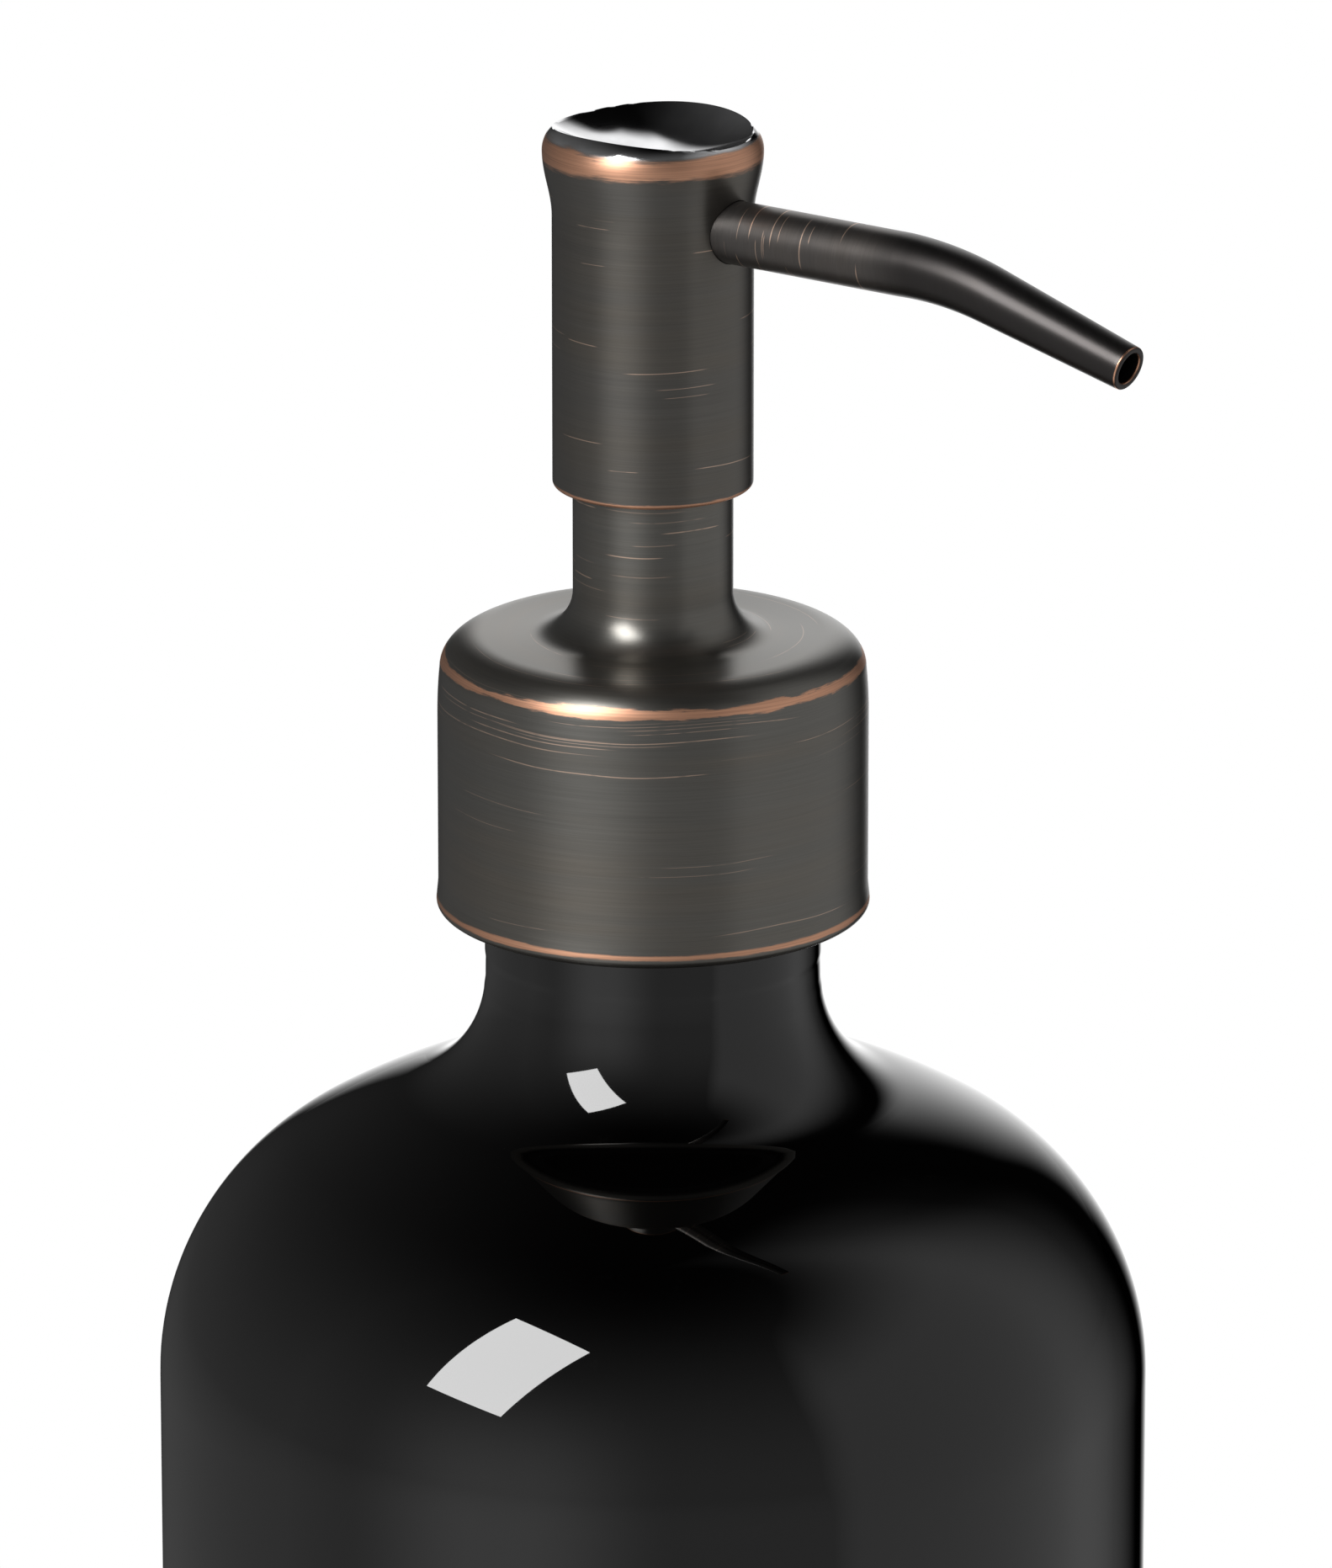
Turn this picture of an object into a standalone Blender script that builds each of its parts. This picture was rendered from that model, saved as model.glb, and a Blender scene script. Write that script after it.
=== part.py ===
"""Soap pump dispenser: a round-shouldered glass bottle with a screw-on metal lotion pump.

Metres, +Z up. The origin is the centre of the bottle's flat base, and the spout points along +X.
Everything above the bottle is stacked from the glass lip upwards, piece on piece.
"""

import math

import bmesh
import bpy
from mathutils import Matrix, Vector

# Clearances
GAP = 0.0003  # between pieces that touch, seat or slide
THREAD_GAP = 0.00035  # thread crest to thread root
STOP_GAP = 0.0004  # head core to guide bush when fully pressed
CUT_OVERRUN = 0.0008  # how far a cutter passes the wall it cuts
SKIRT_CLEARANCE = 0.0001  # head skirt to the top of the sleeve's fillet when fully pressed

# Bottle
BOTTLE_RADIUS = 0.0375
BOTTLE_HEIGHT = 0.1685  # base to lip
GLASS_WALL = 0.0032
GLASS_BASE = 0.005
HEEL_RADIUS = 0.005
SHOULDER_RADIUS = 0.0214
SHOULDER_TURN = math.radians(59)
CROWN_RADIUS = 0.054  # flatter arc between the shoulder and the neck
NECK_FILLET = 0.0096
NECK_RADIUS = 0.0127
NECK_LENGTH = 0.01715  # lip down to the neck's fillet
LIP_ROUND = 0.0008

# Thread shared by the neck and the closure
THREAD_PITCH = 0.004233
THREAD_DEPTH = 0.00105
THREAD_TURNS = 1.1
THREAD_BASE = 0.002
THREAD_CREST = 0.0009
THREAD_DROP = 0.0022  # lip down to the upper end of the neck's thread
THREAD_LAG = 0.17  # turns that the closure's thread starts after the neck's
THREAD_ROOTING = 0.0003  # how far a thread is sunk into its wall
THREAD_RUNOUT = 0.12  # turns over which each end fades out

# Collar: metal shell over a plastic threaded insert
SHEET = 0.0007  # metal thickness
COLLAR_DROP = 0.011  # lip down to the collar's lower edge
COLLAR_STRAIGHT = 0.0146  # lower edge up to where the wall starts to lean in
COLLAR_LEAN_HEIGHT = 0.00346
COLLAR_LEAN = 0.00018
COLLAR_CORNER_WIDTH = 0.00338
COLLAR_CORNER_HEIGHT = 0.00258
COLLAR_CROWN = 0.0001  # rise of the top from its corner to the sleeve's fillet
COLLAR_LIP = 0.00014  # how far the lower edge stands out
COLLAR_LIP_HEIGHT = 0.0014
INSERT_WALL = 0.00088
INSERT_RAISE = 0.0006  # shell's lower edge up to the insert's lower edge
INSERT_TOP = 0.0016
INSERT_RIB = 0.0016  # width of the ring that backs the shell's top
SLEEVE_FILLET = 0.00325
SLEEVE_OVERLAP = 0.0032  # how far the head's skirt covers the sleeve at rest

# Gasket and pump housing
GASKET_THICKNESS = 0.0015
GASKET_INSET = 0.0006  # beyond the glass bore
FLANGE_THICKNESS = 0.0014
FLANGE_STANDOFF = 0.0007  # flange radius beyond the neck radius
HOUSING_BORE = 0.006
HOUSING_WALL = 0.0009
HOUSING_DEPTH = 0.0451  # flange underside down to the spring's ledge
HOUSING_TAPER = 0.005
HOUSING_NECK = 0.0025  # spigot above the flange, for the cap
VENT_RADIUS = 0.0005
SPIGOT_WALL = 0.0012
CAP_WALL = 0.0008
CAP_TOP = 0.0014
CAP_TUBE = 0.0098  # guide tube below the cap's top plate

# Inlet valve and dip tube
INLET_BALL_RADIUS = 0.0024
INLET_LIFT = 0.0015
SEAT_WIDTH = 0.0005  # how far a ball overlaps its seat
SEAT_THICKNESS = 0.0012
CHAMBER_CLEARANCE = 0.001  # round the inlet ball
BALL_PLATE = 0.002
BALL_PLATE_HOLE = 0.0011
BALL_PLATE_PORTS = 4
PORT_RING = 0.00204  # axis to each port's centre
DIP_RADIUS = 0.003
DIP_WALL = 0.0009
DIP_PLUG = 0.0064  # how deep the tube is pushed into the housing
DIP_FLOOR = 0.0025  # tube end above the glass
DIP_SLANT = math.radians(40)
SLANT_BLOCK = 0.018  # side of the block that cuts the slant
TAIL_WALL = 0.0011

# Stem, piston and spring
STROKE = 0.008
STEM_RADIUS = 0.0036
STEM_BORE = 0.0016
STEM_SPIGOT = 0.0026  # radius of the reduced lower end
PISTON_HEIGHT = 0.006
PISTON_LIP = 0.0008
PISTON_WAIST = 0.0006
PISTON_SHOULDER = 0.0033  # piston top down to the stem's shoulder
RETAINER_FLANGE = 0.0012
RETAINER_BOSS = 0.0009
RETAINER_LENGTH = 0.0046
RETAINER_FLOOR = 0.0011
WIRE_RADIUS = 0.0005
SPRING_SLACK = 0.0004  # spring to the housing wall
SPRING_TURNS = 7
BUSH_WALL = 0.0011
BUSH_FLANGE = 0.0008
BUSH_LENGTH = 0.0086
BUSH_INSET = 0.00014  # flange inside the sleeve's outer surface

# Outlet valve and head
OUTLET_BALL_RADIUS = 0.002
OUTLET_LIFT = 0.0012
OUTLET_CLEARANCE = 0.0006  # round the outlet ball
SKIRT_GAP = 0.00075  # head skirt to sleeve
HEAD_WALL = 0.00075
HEAD_EDGE = 0.0004
STEM_SOCKET = 0.004
CORE_WEB = 0.00113  # stem socket to spout socket
CORE_ROOF = 0.00053  # spout socket to the core's top
CORE_CHANNEL = 0.0012
HEAD_ROOF = 0.00125  # least metal under the thumb scoop
FLARE_LENGTH = 0.005
FLARE = 0.00072  # how far the head's top edge stands out
RIM_RAISE = 0.0004  # scoop bottom up to the widest point
RIM_HEIGHT = 0.0028
RIM_INSET = 0.004
SCOOP_LENGTH_RADIUS = 0.0179  # curvature along the spout
SCOOP_WIDTH_RADIUS = 0.0109  # curvature across the spout
SCOOP_DEPTH_RADIUS = 0.012

# Spout
SPOUT_RADIUS = 0.00237
SPOUT_TIP_RADIUS = 0.0017
SPOUT_WALL = 0.0006
SPOUT_TIP_WALL = 0.0005
SPOUT_INSERT = 0.0025  # axis to the tube's inner end
SPOUT_STRAIGHT = 0.0232  # axis to the start of the bend
SPOUT_BEND_RADIUS = 0.0279
SPOUT_BEND = math.radians(15.9)
SPOUT_DOWN = 0.0129  # straight run after the bend

# Facets
BOTTLE_SIDES = 40
METAL_SIDES = 36
INNER_SIDES = 24
SMALL_SIDES = 16
VENT_SIDES = 10
PORT_SIDES = 12
BALL_SIDES = 16
SCOOP_SIDES = 32
SCOOP_RINGS = 24
THREAD_STEPS = 36
SPRING_STEPS = 12
GLASS_STEPS = 4  # on each arc of the outer glass
BORE_STEPS = 2  # on each arc of the inner glass, and on the lip
CORNER_STEPS = 4
CROWN_STEPS = 6
FLARE_STEPS = 5
BEND_STEPS = 5

# Radii that follow from the sizes above
THREAD_ROOT_RADIUS = NECK_RADIUS + THREAD_DEPTH + THREAD_GAP
INSERT_RADIUS = THREAD_ROOT_RADIUS + INSERT_WALL
COLLAR_RADIUS = INSERT_RADIUS + GAP + SHEET + COLLAR_LEAN
HOUSING_RADIUS = HOUSING_BORE + HOUSING_WALL
SPIGOT_RADIUS = HOUSING_BORE + SPIGOT_WALL
CAP_RADIUS = SPIGOT_RADIUS + GAP + CAP_WALL
FLANGE_RADIUS = NECK_RADIUS + FLANGE_STANDOFF
INSERT_HOLE = CAP_RADIUS + GAP
STEM_GUIDE = STEM_RADIUS + GAP
BUSH_RADIUS = STEM_GUIDE + BUSH_WALL
SLEEVE_RADIUS = BUSH_RADIUS + GAP + SHEET
HEAD_BORE = SLEEVE_RADIUS + SKIRT_GAP
HEAD_RADIUS = HEAD_BORE + HEAD_WALL
DIP_SOCKET = DIP_RADIUS + GAP
TAIL_RADIUS = DIP_SOCKET + TAIL_WALL
INLET_SEAT = INLET_BALL_RADIUS - SEAT_WIDTH
SPOUT_SOCKET = SPOUT_RADIUS + GAP

# Heights of the stack, from the base
LIP_Z = BOTTLE_HEIGHT
GASKET_Z = LIP_Z + GAP
FLANGE_Z = GASKET_Z + GASKET_THICKNESS + GAP
FLANGE_TOP_Z = FLANGE_Z + FLANGE_THICKNESS
SPIGOT_TOP_Z = FLANGE_TOP_Z + HOUSING_NECK
CAP_PLATE_Z = SPIGOT_TOP_Z + GAP
CAP_END_Z = CAP_PLATE_Z - CAP_TUBE
LEDGE_Z = FLANGE_Z - HOUSING_DEPTH
COLLAR_Z = LIP_Z - COLLAR_DROP
COLLAR_CORNER_Z = COLLAR_Z + COLLAR_STRAIGHT + COLLAR_LEAN_HEIGHT
COLLAR_TOP_Z = COLLAR_CORNER_Z + COLLAR_CORNER_HEIGHT + COLLAR_CROWN
HEAD_Z = COLLAR_TOP_Z + SLEEVE_FILLET + STROKE + SKIRT_CLEARANCE
SLEEVE_TOP_Z = HEAD_Z + SLEEVE_OVERLAP
BUSH_SEAT_Z = SLEEVE_TOP_Z + GAP
CORE_Z = BUSH_SEAT_Z + BUSH_FLANGE + STROKE + STOP_GAP
STEM_TOP_Z = CORE_Z + STEM_SOCKET - GAP
SPOUT_Z = CORE_Z + STEM_SOCKET + CORE_WEB + SPOUT_SOCKET
CORE_TOP_Z = SPOUT_Z + SPOUT_SOCKET + CORE_ROOF
SCOOP_Z = CORE_TOP_Z + GAP + HEAD_ROOF
RIM_Z = SCOOP_Z + RIM_RAISE
PISTON_TOP_Z = CAP_END_Z - GAP
PISTON_Z = PISTON_TOP_Z - PISTON_HEIGHT
STEM_SHOULDER_Z = PISTON_TOP_Z - PISTON_SHOULDER
RETAINER_TOP_Z = PISTON_Z - GAP
RETAINER_Z = RETAINER_TOP_Z - RETAINER_LENGTH
BALL_PLATE_Z = LEDGE_Z + GAP


def seated_height(ball_radius, seat_radius):
    """Height of a ball's centre above the edge of its seat, with the gap between them."""
    return math.sqrt((ball_radius + GAP) ** 2 - seat_radius**2)


OUTLET_BALL_Z = CORE_Z + STEM_SOCKET - GAP - OUTLET_LIFT - OUTLET_BALL_RADIUS
OUTLET_SEAT_Z = OUTLET_BALL_Z - seated_height(OUTLET_BALL_RADIUS, STEM_BORE)
INLET_BALL_Z = LEDGE_Z - GAP - INLET_LIFT - INLET_BALL_RADIUS
INLET_SEAT_Z = INLET_BALL_Z - seated_height(INLET_BALL_RADIUS, INLET_SEAT)
DIP_TOP_Z = INLET_SEAT_Z - SEAT_THICKNESS - GAP
TAIL_Z = DIP_TOP_Z - DIP_PLUG


def clear_scene():
    for obj in list(bpy.data.objects):
        bpy.data.objects.remove(obj)


def new_collection(name, hidden=False):
    collection = bpy.data.collections.new(name)
    collection.hide_render = hidden
    bpy.context.scene.collection.children.link(collection)
    return collection


def finish(name, colour, roughness, metallic=0.0):
    material = bpy.data.materials.new(name)
    material.diffuse_color = (*colour, 1.0)
    material.use_nodes = True
    shader = material.node_tree.nodes["Principled BSDF"]
    shader.inputs["Base Color"].default_value = (*colour, 1.0)
    shader.inputs["Roughness"].default_value = roughness
    shader.inputs["Metallic"].default_value = metallic
    return material


def arc(centre, radius, start, end, steps):
    """Points on an arc in the profile plane; radius is a number or a (width, height) pair."""
    width, height = radius if isinstance(radius, tuple) else (radius, radius)
    angles = [start + (end - start) * step / steps for step in range(steps + 1)]
    return [(centre[0] + width * math.cos(a), centre[1] + height * math.sin(a)) for a in angles]


def place(name, mesh, collection, material=None, parent=None, location=(0, 0, 0)):
    """An object whose mesh is drawn round `location`, set there under its parent."""
    obj = bpy.data.objects.new(name, mesh)
    collection.objects.link(obj)
    obj.location = Vector(location) - (parent.location if parent else Vector())
    obj.parent = parent
    if material:
        mesh.materials.append(material)
    mesh.shade_smooth()
    mesh.set_sharp_from_angle(angle=math.radians(35))
    return obj


def profile_mesh(name, outline, closed, datum):
    points = [(radius, 0.0, height - datum) for radius, height in outline]
    edges = [(i, i + 1) for i in range(len(points) - 1)]
    if closed:
        edges.append((len(points) - 1, 0))
    mesh = bpy.data.meshes.new(name)
    mesh.from_pydata(points, edges, [])
    return mesh


def turned(name, outline, sides, material, parent=None, closed=True, datum=0.0):
    """A turned piece. The outline runs down the outer side and, if closed, up the inner one."""
    mesh = profile_mesh(name, outline, closed, datum)
    obj = place(name, mesh, PARTS, material, parent, (0, 0, datum))
    screw = obj.modifiers.new("Turn", "SCREW")
    screw.steps = screw.render_steps = sides
    screw.use_merge_vertices = True
    screw.merge_threshold = 1e-6
    screw.use_smooth_shade = True
    return obj


def cylinder_cutter(name, radius, start, end, sides=SMALL_SIDES):
    """A cutting cylinder between two points."""
    start, end = Vector(start), Vector(end)
    run = end - start
    turn = run.to_track_quat("Z", "Y").to_matrix().to_4x4()
    mesh = bpy.data.meshes.new(name)
    shape = bmesh.new()
    bmesh.ops.create_cone(
        shape,
        cap_ends=True,
        segments=sides,
        radius1=radius,
        radius2=radius,
        depth=run.length,
        matrix=Matrix.Translation((start + end) / 2) @ turn,
    )
    shape.to_mesh(mesh)
    shape.free()
    return place_cutter(name, mesh)


def place_cutter(name, mesh):
    cutter = bpy.data.objects.new(name, mesh)
    cutter.display_type = "WIRE"
    cutter.hide_render = True
    CUTTERS.objects.link(cutter)
    return cutter


def combine(obj, other, operation):
    boolean = obj.modifiers.new(other.name, "BOOLEAN")
    boolean.operation = operation
    boolean.object = other


def thread_rib(name, wall_radius, direction, start_z, start_turn):
    """A helical rib that grows out of a wall: direction is 1 for outwards and -1 for inwards."""
    steps = round(THREAD_STEPS * THREAD_TURNS)
    root = wall_radius - direction * THREAD_ROOTING
    shape = bmesh.new()
    sections = []
    for step in range(steps + 1):
        turn = THREAD_TURNS * step / steps
        angle = 2 * math.pi * (start_turn + turn)
        fade = min(1.0, turn / THREAD_RUNOUT, (THREAD_TURNS - turn) / THREAD_RUNOUT)
        crest = wall_radius + direction * (THREAD_DEPTH * fade - THREAD_ROOTING / 2 * (1 - fade))
        height = start_z + THREAD_PITCH * turn
        corners = [
            (root, -THREAD_BASE / 2),
            (crest, -THREAD_CREST / 2),
            (crest, THREAD_CREST / 2),
            (root, THREAD_BASE / 2),
        ]
        across = Vector((math.cos(angle), math.sin(angle), 0))
        sections.append([shape.verts.new((*(r * across).xy, height + dz)) for r, dz in corners])
    for near, far in zip(sections, sections[1:]):
        for i in range(4):
            shape.faces.new((near[i], near[(i + 1) % 4], far[(i + 1) % 4], far[i]))
    shape.faces.new(sections[0])
    shape.faces.new(sections[-1])
    bmesh.ops.recalc_face_normals(shape, faces=shape.faces)
    mesh = bpy.data.meshes.new(name)
    shape.to_mesh(mesh)
    shape.free()
    return place_cutter(name, mesh)


def neck_thread_start():
    return LIP_Z - THREAD_DROP - THREAD_PITCH * THREAD_TURNS


def shoulder_centres():
    """Centres of the shoulder, crown and neck-fillet arcs, tangent to each other."""
    reach = CROWN_RADIUS - SHOULDER_RADIUS
    shoulder_r = BOTTLE_RADIUS - SHOULDER_RADIUS
    crown_r = shoulder_r - reach * math.cos(SHOULDER_TURN)
    fillet_r = NECK_RADIUS + NECK_FILLET
    fillet_z = LIP_Z - NECK_LENGTH
    crown_z = fillet_z - math.sqrt((CROWN_RADIUS + NECK_FILLET) ** 2 - (fillet_r - crown_r) ** 2)
    shoulder_z = crown_z + reach * math.sin(SHOULDER_TURN)
    return (shoulder_r, shoulder_z), (crown_r, crown_z), (fillet_r, fillet_z)


def bottle_side(inset, steps):
    """The side of the glass from its neck down to its heel, moved in by `inset`."""
    shoulder, crown, fillet = shoulder_centres()
    crown_turn = math.atan2(fillet[1] - crown[1], fillet[0] - crown[0])
    base = inset and GLASS_BASE
    heel = (BOTTLE_RADIUS - HEEL_RADIUS, base + HEEL_RADIUS - inset)
    return (
        arc(fillet, NECK_FILLET + inset, math.pi, math.pi + crown_turn, steps)
        + arc(crown, CROWN_RADIUS - inset, crown_turn, SHOULDER_TURN, steps)[1:]
        + arc(shoulder, SHOULDER_RADIUS - inset, SHOULDER_TURN, 0, steps + 2)[1:]
        + arc(heel, HEEL_RADIUS - inset, 0, -math.pi / 2, steps)
    )


def make_bottle(glass):
    lip = arc((NECK_RADIUS - LIP_ROUND, LIP_Z - LIP_ROUND), LIP_ROUND, math.pi / 2, 0, BORE_STEPS)
    bore = NECK_RADIUS - GLASS_WALL
    inside = [(0, GLASS_BASE), *reversed(bottle_side(GLASS_WALL, BORE_STEPS)), (bore, LIP_Z - LIP_ROUND)]
    outline = inside + [(bore + LIP_ROUND, LIP_Z), *lip, *bottle_side(0, GLASS_STEPS), (0, 0)]
    bottle = turned("bottle", outline, BOTTLE_SIDES, glass, closed=False)
    combine(bottle, thread_rib("neck_thread", NECK_RADIUS, 1, neck_thread_start(), 0), "UNION")


def collar_outline():
    """The outer surface of the collar and its sleeve, top to bottom."""
    ridge_r = COLLAR_RADIUS - COLLAR_LEAN
    corner = (ridge_r - COLLAR_CORNER_WIDTH, COLLAR_CORNER_Z)
    fillet = (SLEEVE_RADIUS + SLEEVE_FILLET, COLLAR_TOP_Z + SLEEVE_FILLET)
    lean_z = COLLAR_Z + COLLAR_STRAIGHT
    return (
        [(SLEEVE_RADIUS, SLEEVE_TOP_Z)]
        + arc(fillet, SLEEVE_FILLET, math.pi, 1.5 * math.pi, CORNER_STEPS)
        + arc(corner, (COLLAR_CORNER_WIDTH, COLLAR_CORNER_HEIGHT), math.pi / 2, 0, CORNER_STEPS)
        + [
            (COLLAR_RADIUS - COLLAR_LEAN / 4, lean_z + COLLAR_LEAN_HEIGHT / 2),
            (COLLAR_RADIUS, lean_z),
            (COLLAR_RADIUS, COLLAR_Z + COLLAR_LIP_HEIGHT),
            (COLLAR_RADIUS + COLLAR_LIP, COLLAR_Z),
        ]
    )


def make_collar_shell(bronze, collar):
    outline = collar_outline()
    shell = turned("collar_shell", outline, METAL_SIDES, bronze, collar, closed=False, datum=COLLAR_Z)
    wall = shell.modifiers.new("Sheet", "SOLIDIFY")
    wall.thickness = SHEET
    wall.offset = -1
    wall.use_even_offset = True


def make_collar_insert(plastic, collar):
    lower = COLLAR_Z + INSERT_RAISE
    plate = FLANGE_TOP_Z + GAP
    rib_top = COLLAR_TOP_Z - COLLAR_CROWN - SHEET - GAP
    rib_r = INSERT_HOLE + INSERT_RIB
    outline = [
        (rib_r, rib_top),
        (rib_r, plate + INSERT_TOP),
        (INSERT_RADIUS, plate + INSERT_TOP),
        (INSERT_RADIUS, lower),
        (THREAD_ROOT_RADIUS, lower),
        (THREAD_ROOT_RADIUS, plate),
        (INSERT_HOLE, plate),
        (INSERT_HOLE, rib_top),
    ]
    insert = turned("collar_insert", outline, METAL_SIDES, plastic, collar)
    start = neck_thread_start() - THREAD_PITCH / 2 + THREAD_PITCH * THREAD_LAG
    combine(insert, thread_rib("insert_thread", THREAD_ROOT_RADIUS, -1, start, THREAD_LAG), "UNION")


def make_guide_bush(plastic, collar):
    flange = SLEEVE_RADIUS - BUSH_INSET
    outline = [
        (flange, BUSH_SEAT_Z + BUSH_FLANGE),
        (flange, BUSH_SEAT_Z),
        (BUSH_RADIUS, BUSH_SEAT_Z),
        (BUSH_RADIUS, BUSH_SEAT_Z - BUSH_LENGTH),
        (STEM_GUIDE, BUSH_SEAT_Z - BUSH_LENGTH),
        (STEM_GUIDE, BUSH_SEAT_Z + BUSH_FLANGE),
    ]
    turned("guide_bush", outline, INNER_SIDES, plastic, collar)


def make_neck_gasket(rubber, pump):
    inner = NECK_RADIUS - GLASS_WALL + GASKET_INSET
    outer = FLANGE_RADIUS - GAP
    top = GASKET_Z + GASKET_THICKNESS
    outline = [(outer, top), (outer, GASKET_Z), (inner, GASKET_Z), (inner, top)]
    turned("neck_gasket", outline, INNER_SIDES, rubber, pump)


def make_pump_housing(plastic, pump):
    chamber = INLET_BALL_RADIUS + CHAMBER_CLEARANCE
    taper_z = LEDGE_Z - HOUSING_WALL
    outline = [
        (SPIGOT_RADIUS, SPIGOT_TOP_Z),
        (SPIGOT_RADIUS, FLANGE_TOP_Z),
        (FLANGE_RADIUS, FLANGE_TOP_Z),
        (FLANGE_RADIUS, FLANGE_Z),
        (HOUSING_RADIUS, FLANGE_Z),
        (HOUSING_RADIUS, taper_z),
        (TAIL_RADIUS, taper_z - HOUSING_TAPER),
        (TAIL_RADIUS, TAIL_Z),
        (DIP_SOCKET, TAIL_Z),
        (DIP_SOCKET, DIP_TOP_Z + GAP),
        (INLET_SEAT, DIP_TOP_Z + GAP),
        (INLET_SEAT, INLET_SEAT_Z),
        (chamber, INLET_SEAT_Z),
        (chamber, LEDGE_Z),
        (HOUSING_BORE, LEDGE_Z),
        (HOUSING_BORE, SPIGOT_TOP_Z),
    ]
    housing = turned("pump_housing", outline, INNER_SIDES, plastic, pump)
    vent_z = PISTON_Z + PISTON_HEIGHT / 2
    inside = (0, HOUSING_BORE - CUT_OVERRUN, vent_z)
    outside = (0, HOUSING_RADIUS + CUT_OVERRUN, vent_z)
    combine(housing, cylinder_cutter("vent", VENT_RADIUS, inside, outside, VENT_SIDES), "DIFFERENCE")


def make_housing_cap(plastic, pump):
    top = CAP_PLATE_Z + CAP_TOP
    tube = HOUSING_BORE - GAP
    outline = [
        (CAP_RADIUS, top),
        (CAP_RADIUS, FLANGE_TOP_Z + GAP),
        (SPIGOT_RADIUS + GAP, FLANGE_TOP_Z + GAP),
        (SPIGOT_RADIUS + GAP, CAP_PLATE_Z),
        (tube, CAP_PLATE_Z),
        (tube, CAP_END_Z),
        (STEM_GUIDE, CAP_END_Z),
        (STEM_GUIDE, top),
    ]
    turned("housing_cap", outline, INNER_SIDES, plastic, pump)


def make_ball_retainer(plastic, pump):
    """Plate that keeps the inlet ball in its chamber and carries the spring, with its ports."""
    outer = HOUSING_BORE - GAP
    top = BALL_PLATE_Z + BALL_PLATE
    outline = [(0, top), (outer, top), (outer, BALL_PLATE_Z), (0, BALL_PLATE_Z)]
    plate = turned("ball_retainer", outline, INNER_SIDES, plastic, pump, closed=False)
    for index in range(BALL_PLATE_PORTS):
        angle = 2 * math.pi * index / BALL_PLATE_PORTS
        below = Vector((PORT_RING * math.cos(angle), PORT_RING * math.sin(angle), BALL_PLATE_Z - CUT_OVERRUN))
        above = below + Vector((0, 0, BALL_PLATE + 2 * CUT_OVERRUN))
        port = cylinder_cutter(f"port_{index}", BALL_PLATE_HOLE, below, above, PORT_SIDES)
        combine(plate, port, "DIFFERENCE")


def make_dip_tube(plastic, pump):
    end = GLASS_BASE + DIP_FLOOR
    bore = DIP_RADIUS - DIP_WALL
    outline = [(DIP_RADIUS, DIP_TOP_Z), (DIP_RADIUS, end), (bore, end), (bore, DIP_TOP_Z)]
    tube = turned("dip_tube", outline, SMALL_SIDES, plastic, pump)
    mesh = bpy.data.meshes.new("slant_cut")
    shape = bmesh.new()
    bmesh.ops.create_cube(shape, size=SLANT_BLOCK)
    slant = Matrix.Rotation(DIP_SLANT, 4, "Y")
    low_side = Vector((-DIP_RADIUS, 0, end))
    shape.transform(Matrix.Translation(low_side) @ slant @ Matrix.Translation((0, 0, -SLANT_BLOCK / 2)))
    shape.to_mesh(mesh)
    shape.free()
    combine(tube, place_cutter("slant_cut", mesh), "DIFFERENCE")


def make_spring(steel, pump):
    low = BALL_PLATE_Z + BALL_PLATE + GAP + WIRE_RADIUS
    high = RETAINER_TOP_Z - RETAINER_FLANGE - GAP - WIRE_RADIUS
    radius = HOUSING_BORE - SPRING_SLACK - WIRE_RADIUS
    curve = bpy.data.curves.new("return_spring", "CURVE")
    curve.dimensions = "3D"
    curve.bevel_depth = WIRE_RADIUS
    curve.bevel_resolution = 2
    curve.use_fill_caps = True
    spline = curve.splines.new("POLY")
    count = SPRING_TURNS * SPRING_STEPS
    spline.points.add(count)
    for step, point in enumerate(spline.points):
        angle = 2 * math.pi * step / SPRING_STEPS
        height = low + (high - low) * step / count
        point.co = (radius * math.cos(angle), radius * math.sin(angle), height, 1)
    spring = bpy.data.objects.new("return_spring", curve)
    PARTS.objects.link(spring)
    curve.materials.append(steel)
    spring.parent = pump
    spring.location = -pump.location


def make_ball(name, radius, height, steel, parent):
    mesh = bpy.data.meshes.new(name)
    shape = bmesh.new()
    bmesh.ops.create_uvsphere(shape, u_segments=BALL_SIDES, v_segments=BALL_SIDES // 2, radius=radius)
    shape.to_mesh(mesh)
    shape.free()
    place(name, mesh, PARTS, steel, parent, (0, 0, height))


def make_piston_seal(plastic, head):
    outer = HOUSING_BORE - GAP
    waist = outer - PISTON_WAIST
    ledge = STEM_SHOULDER_Z - GAP
    bore = STEM_SPIGOT + GAP
    slope = PISTON_WAIST
    outline = [
        (outer, PISTON_TOP_Z),
        (outer, PISTON_TOP_Z - PISTON_LIP),
        (waist, PISTON_TOP_Z - PISTON_LIP - slope),
        (waist, PISTON_Z + PISTON_LIP + slope),
        (outer, PISTON_Z + PISTON_LIP),
        (outer, PISTON_Z),
        (bore, PISTON_Z),
        (bore, ledge),
        (STEM_GUIDE, ledge),
        (STEM_GUIDE, PISTON_TOP_Z),
    ]
    turned("piston_seal", outline, INNER_SIDES, plastic, head)


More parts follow.
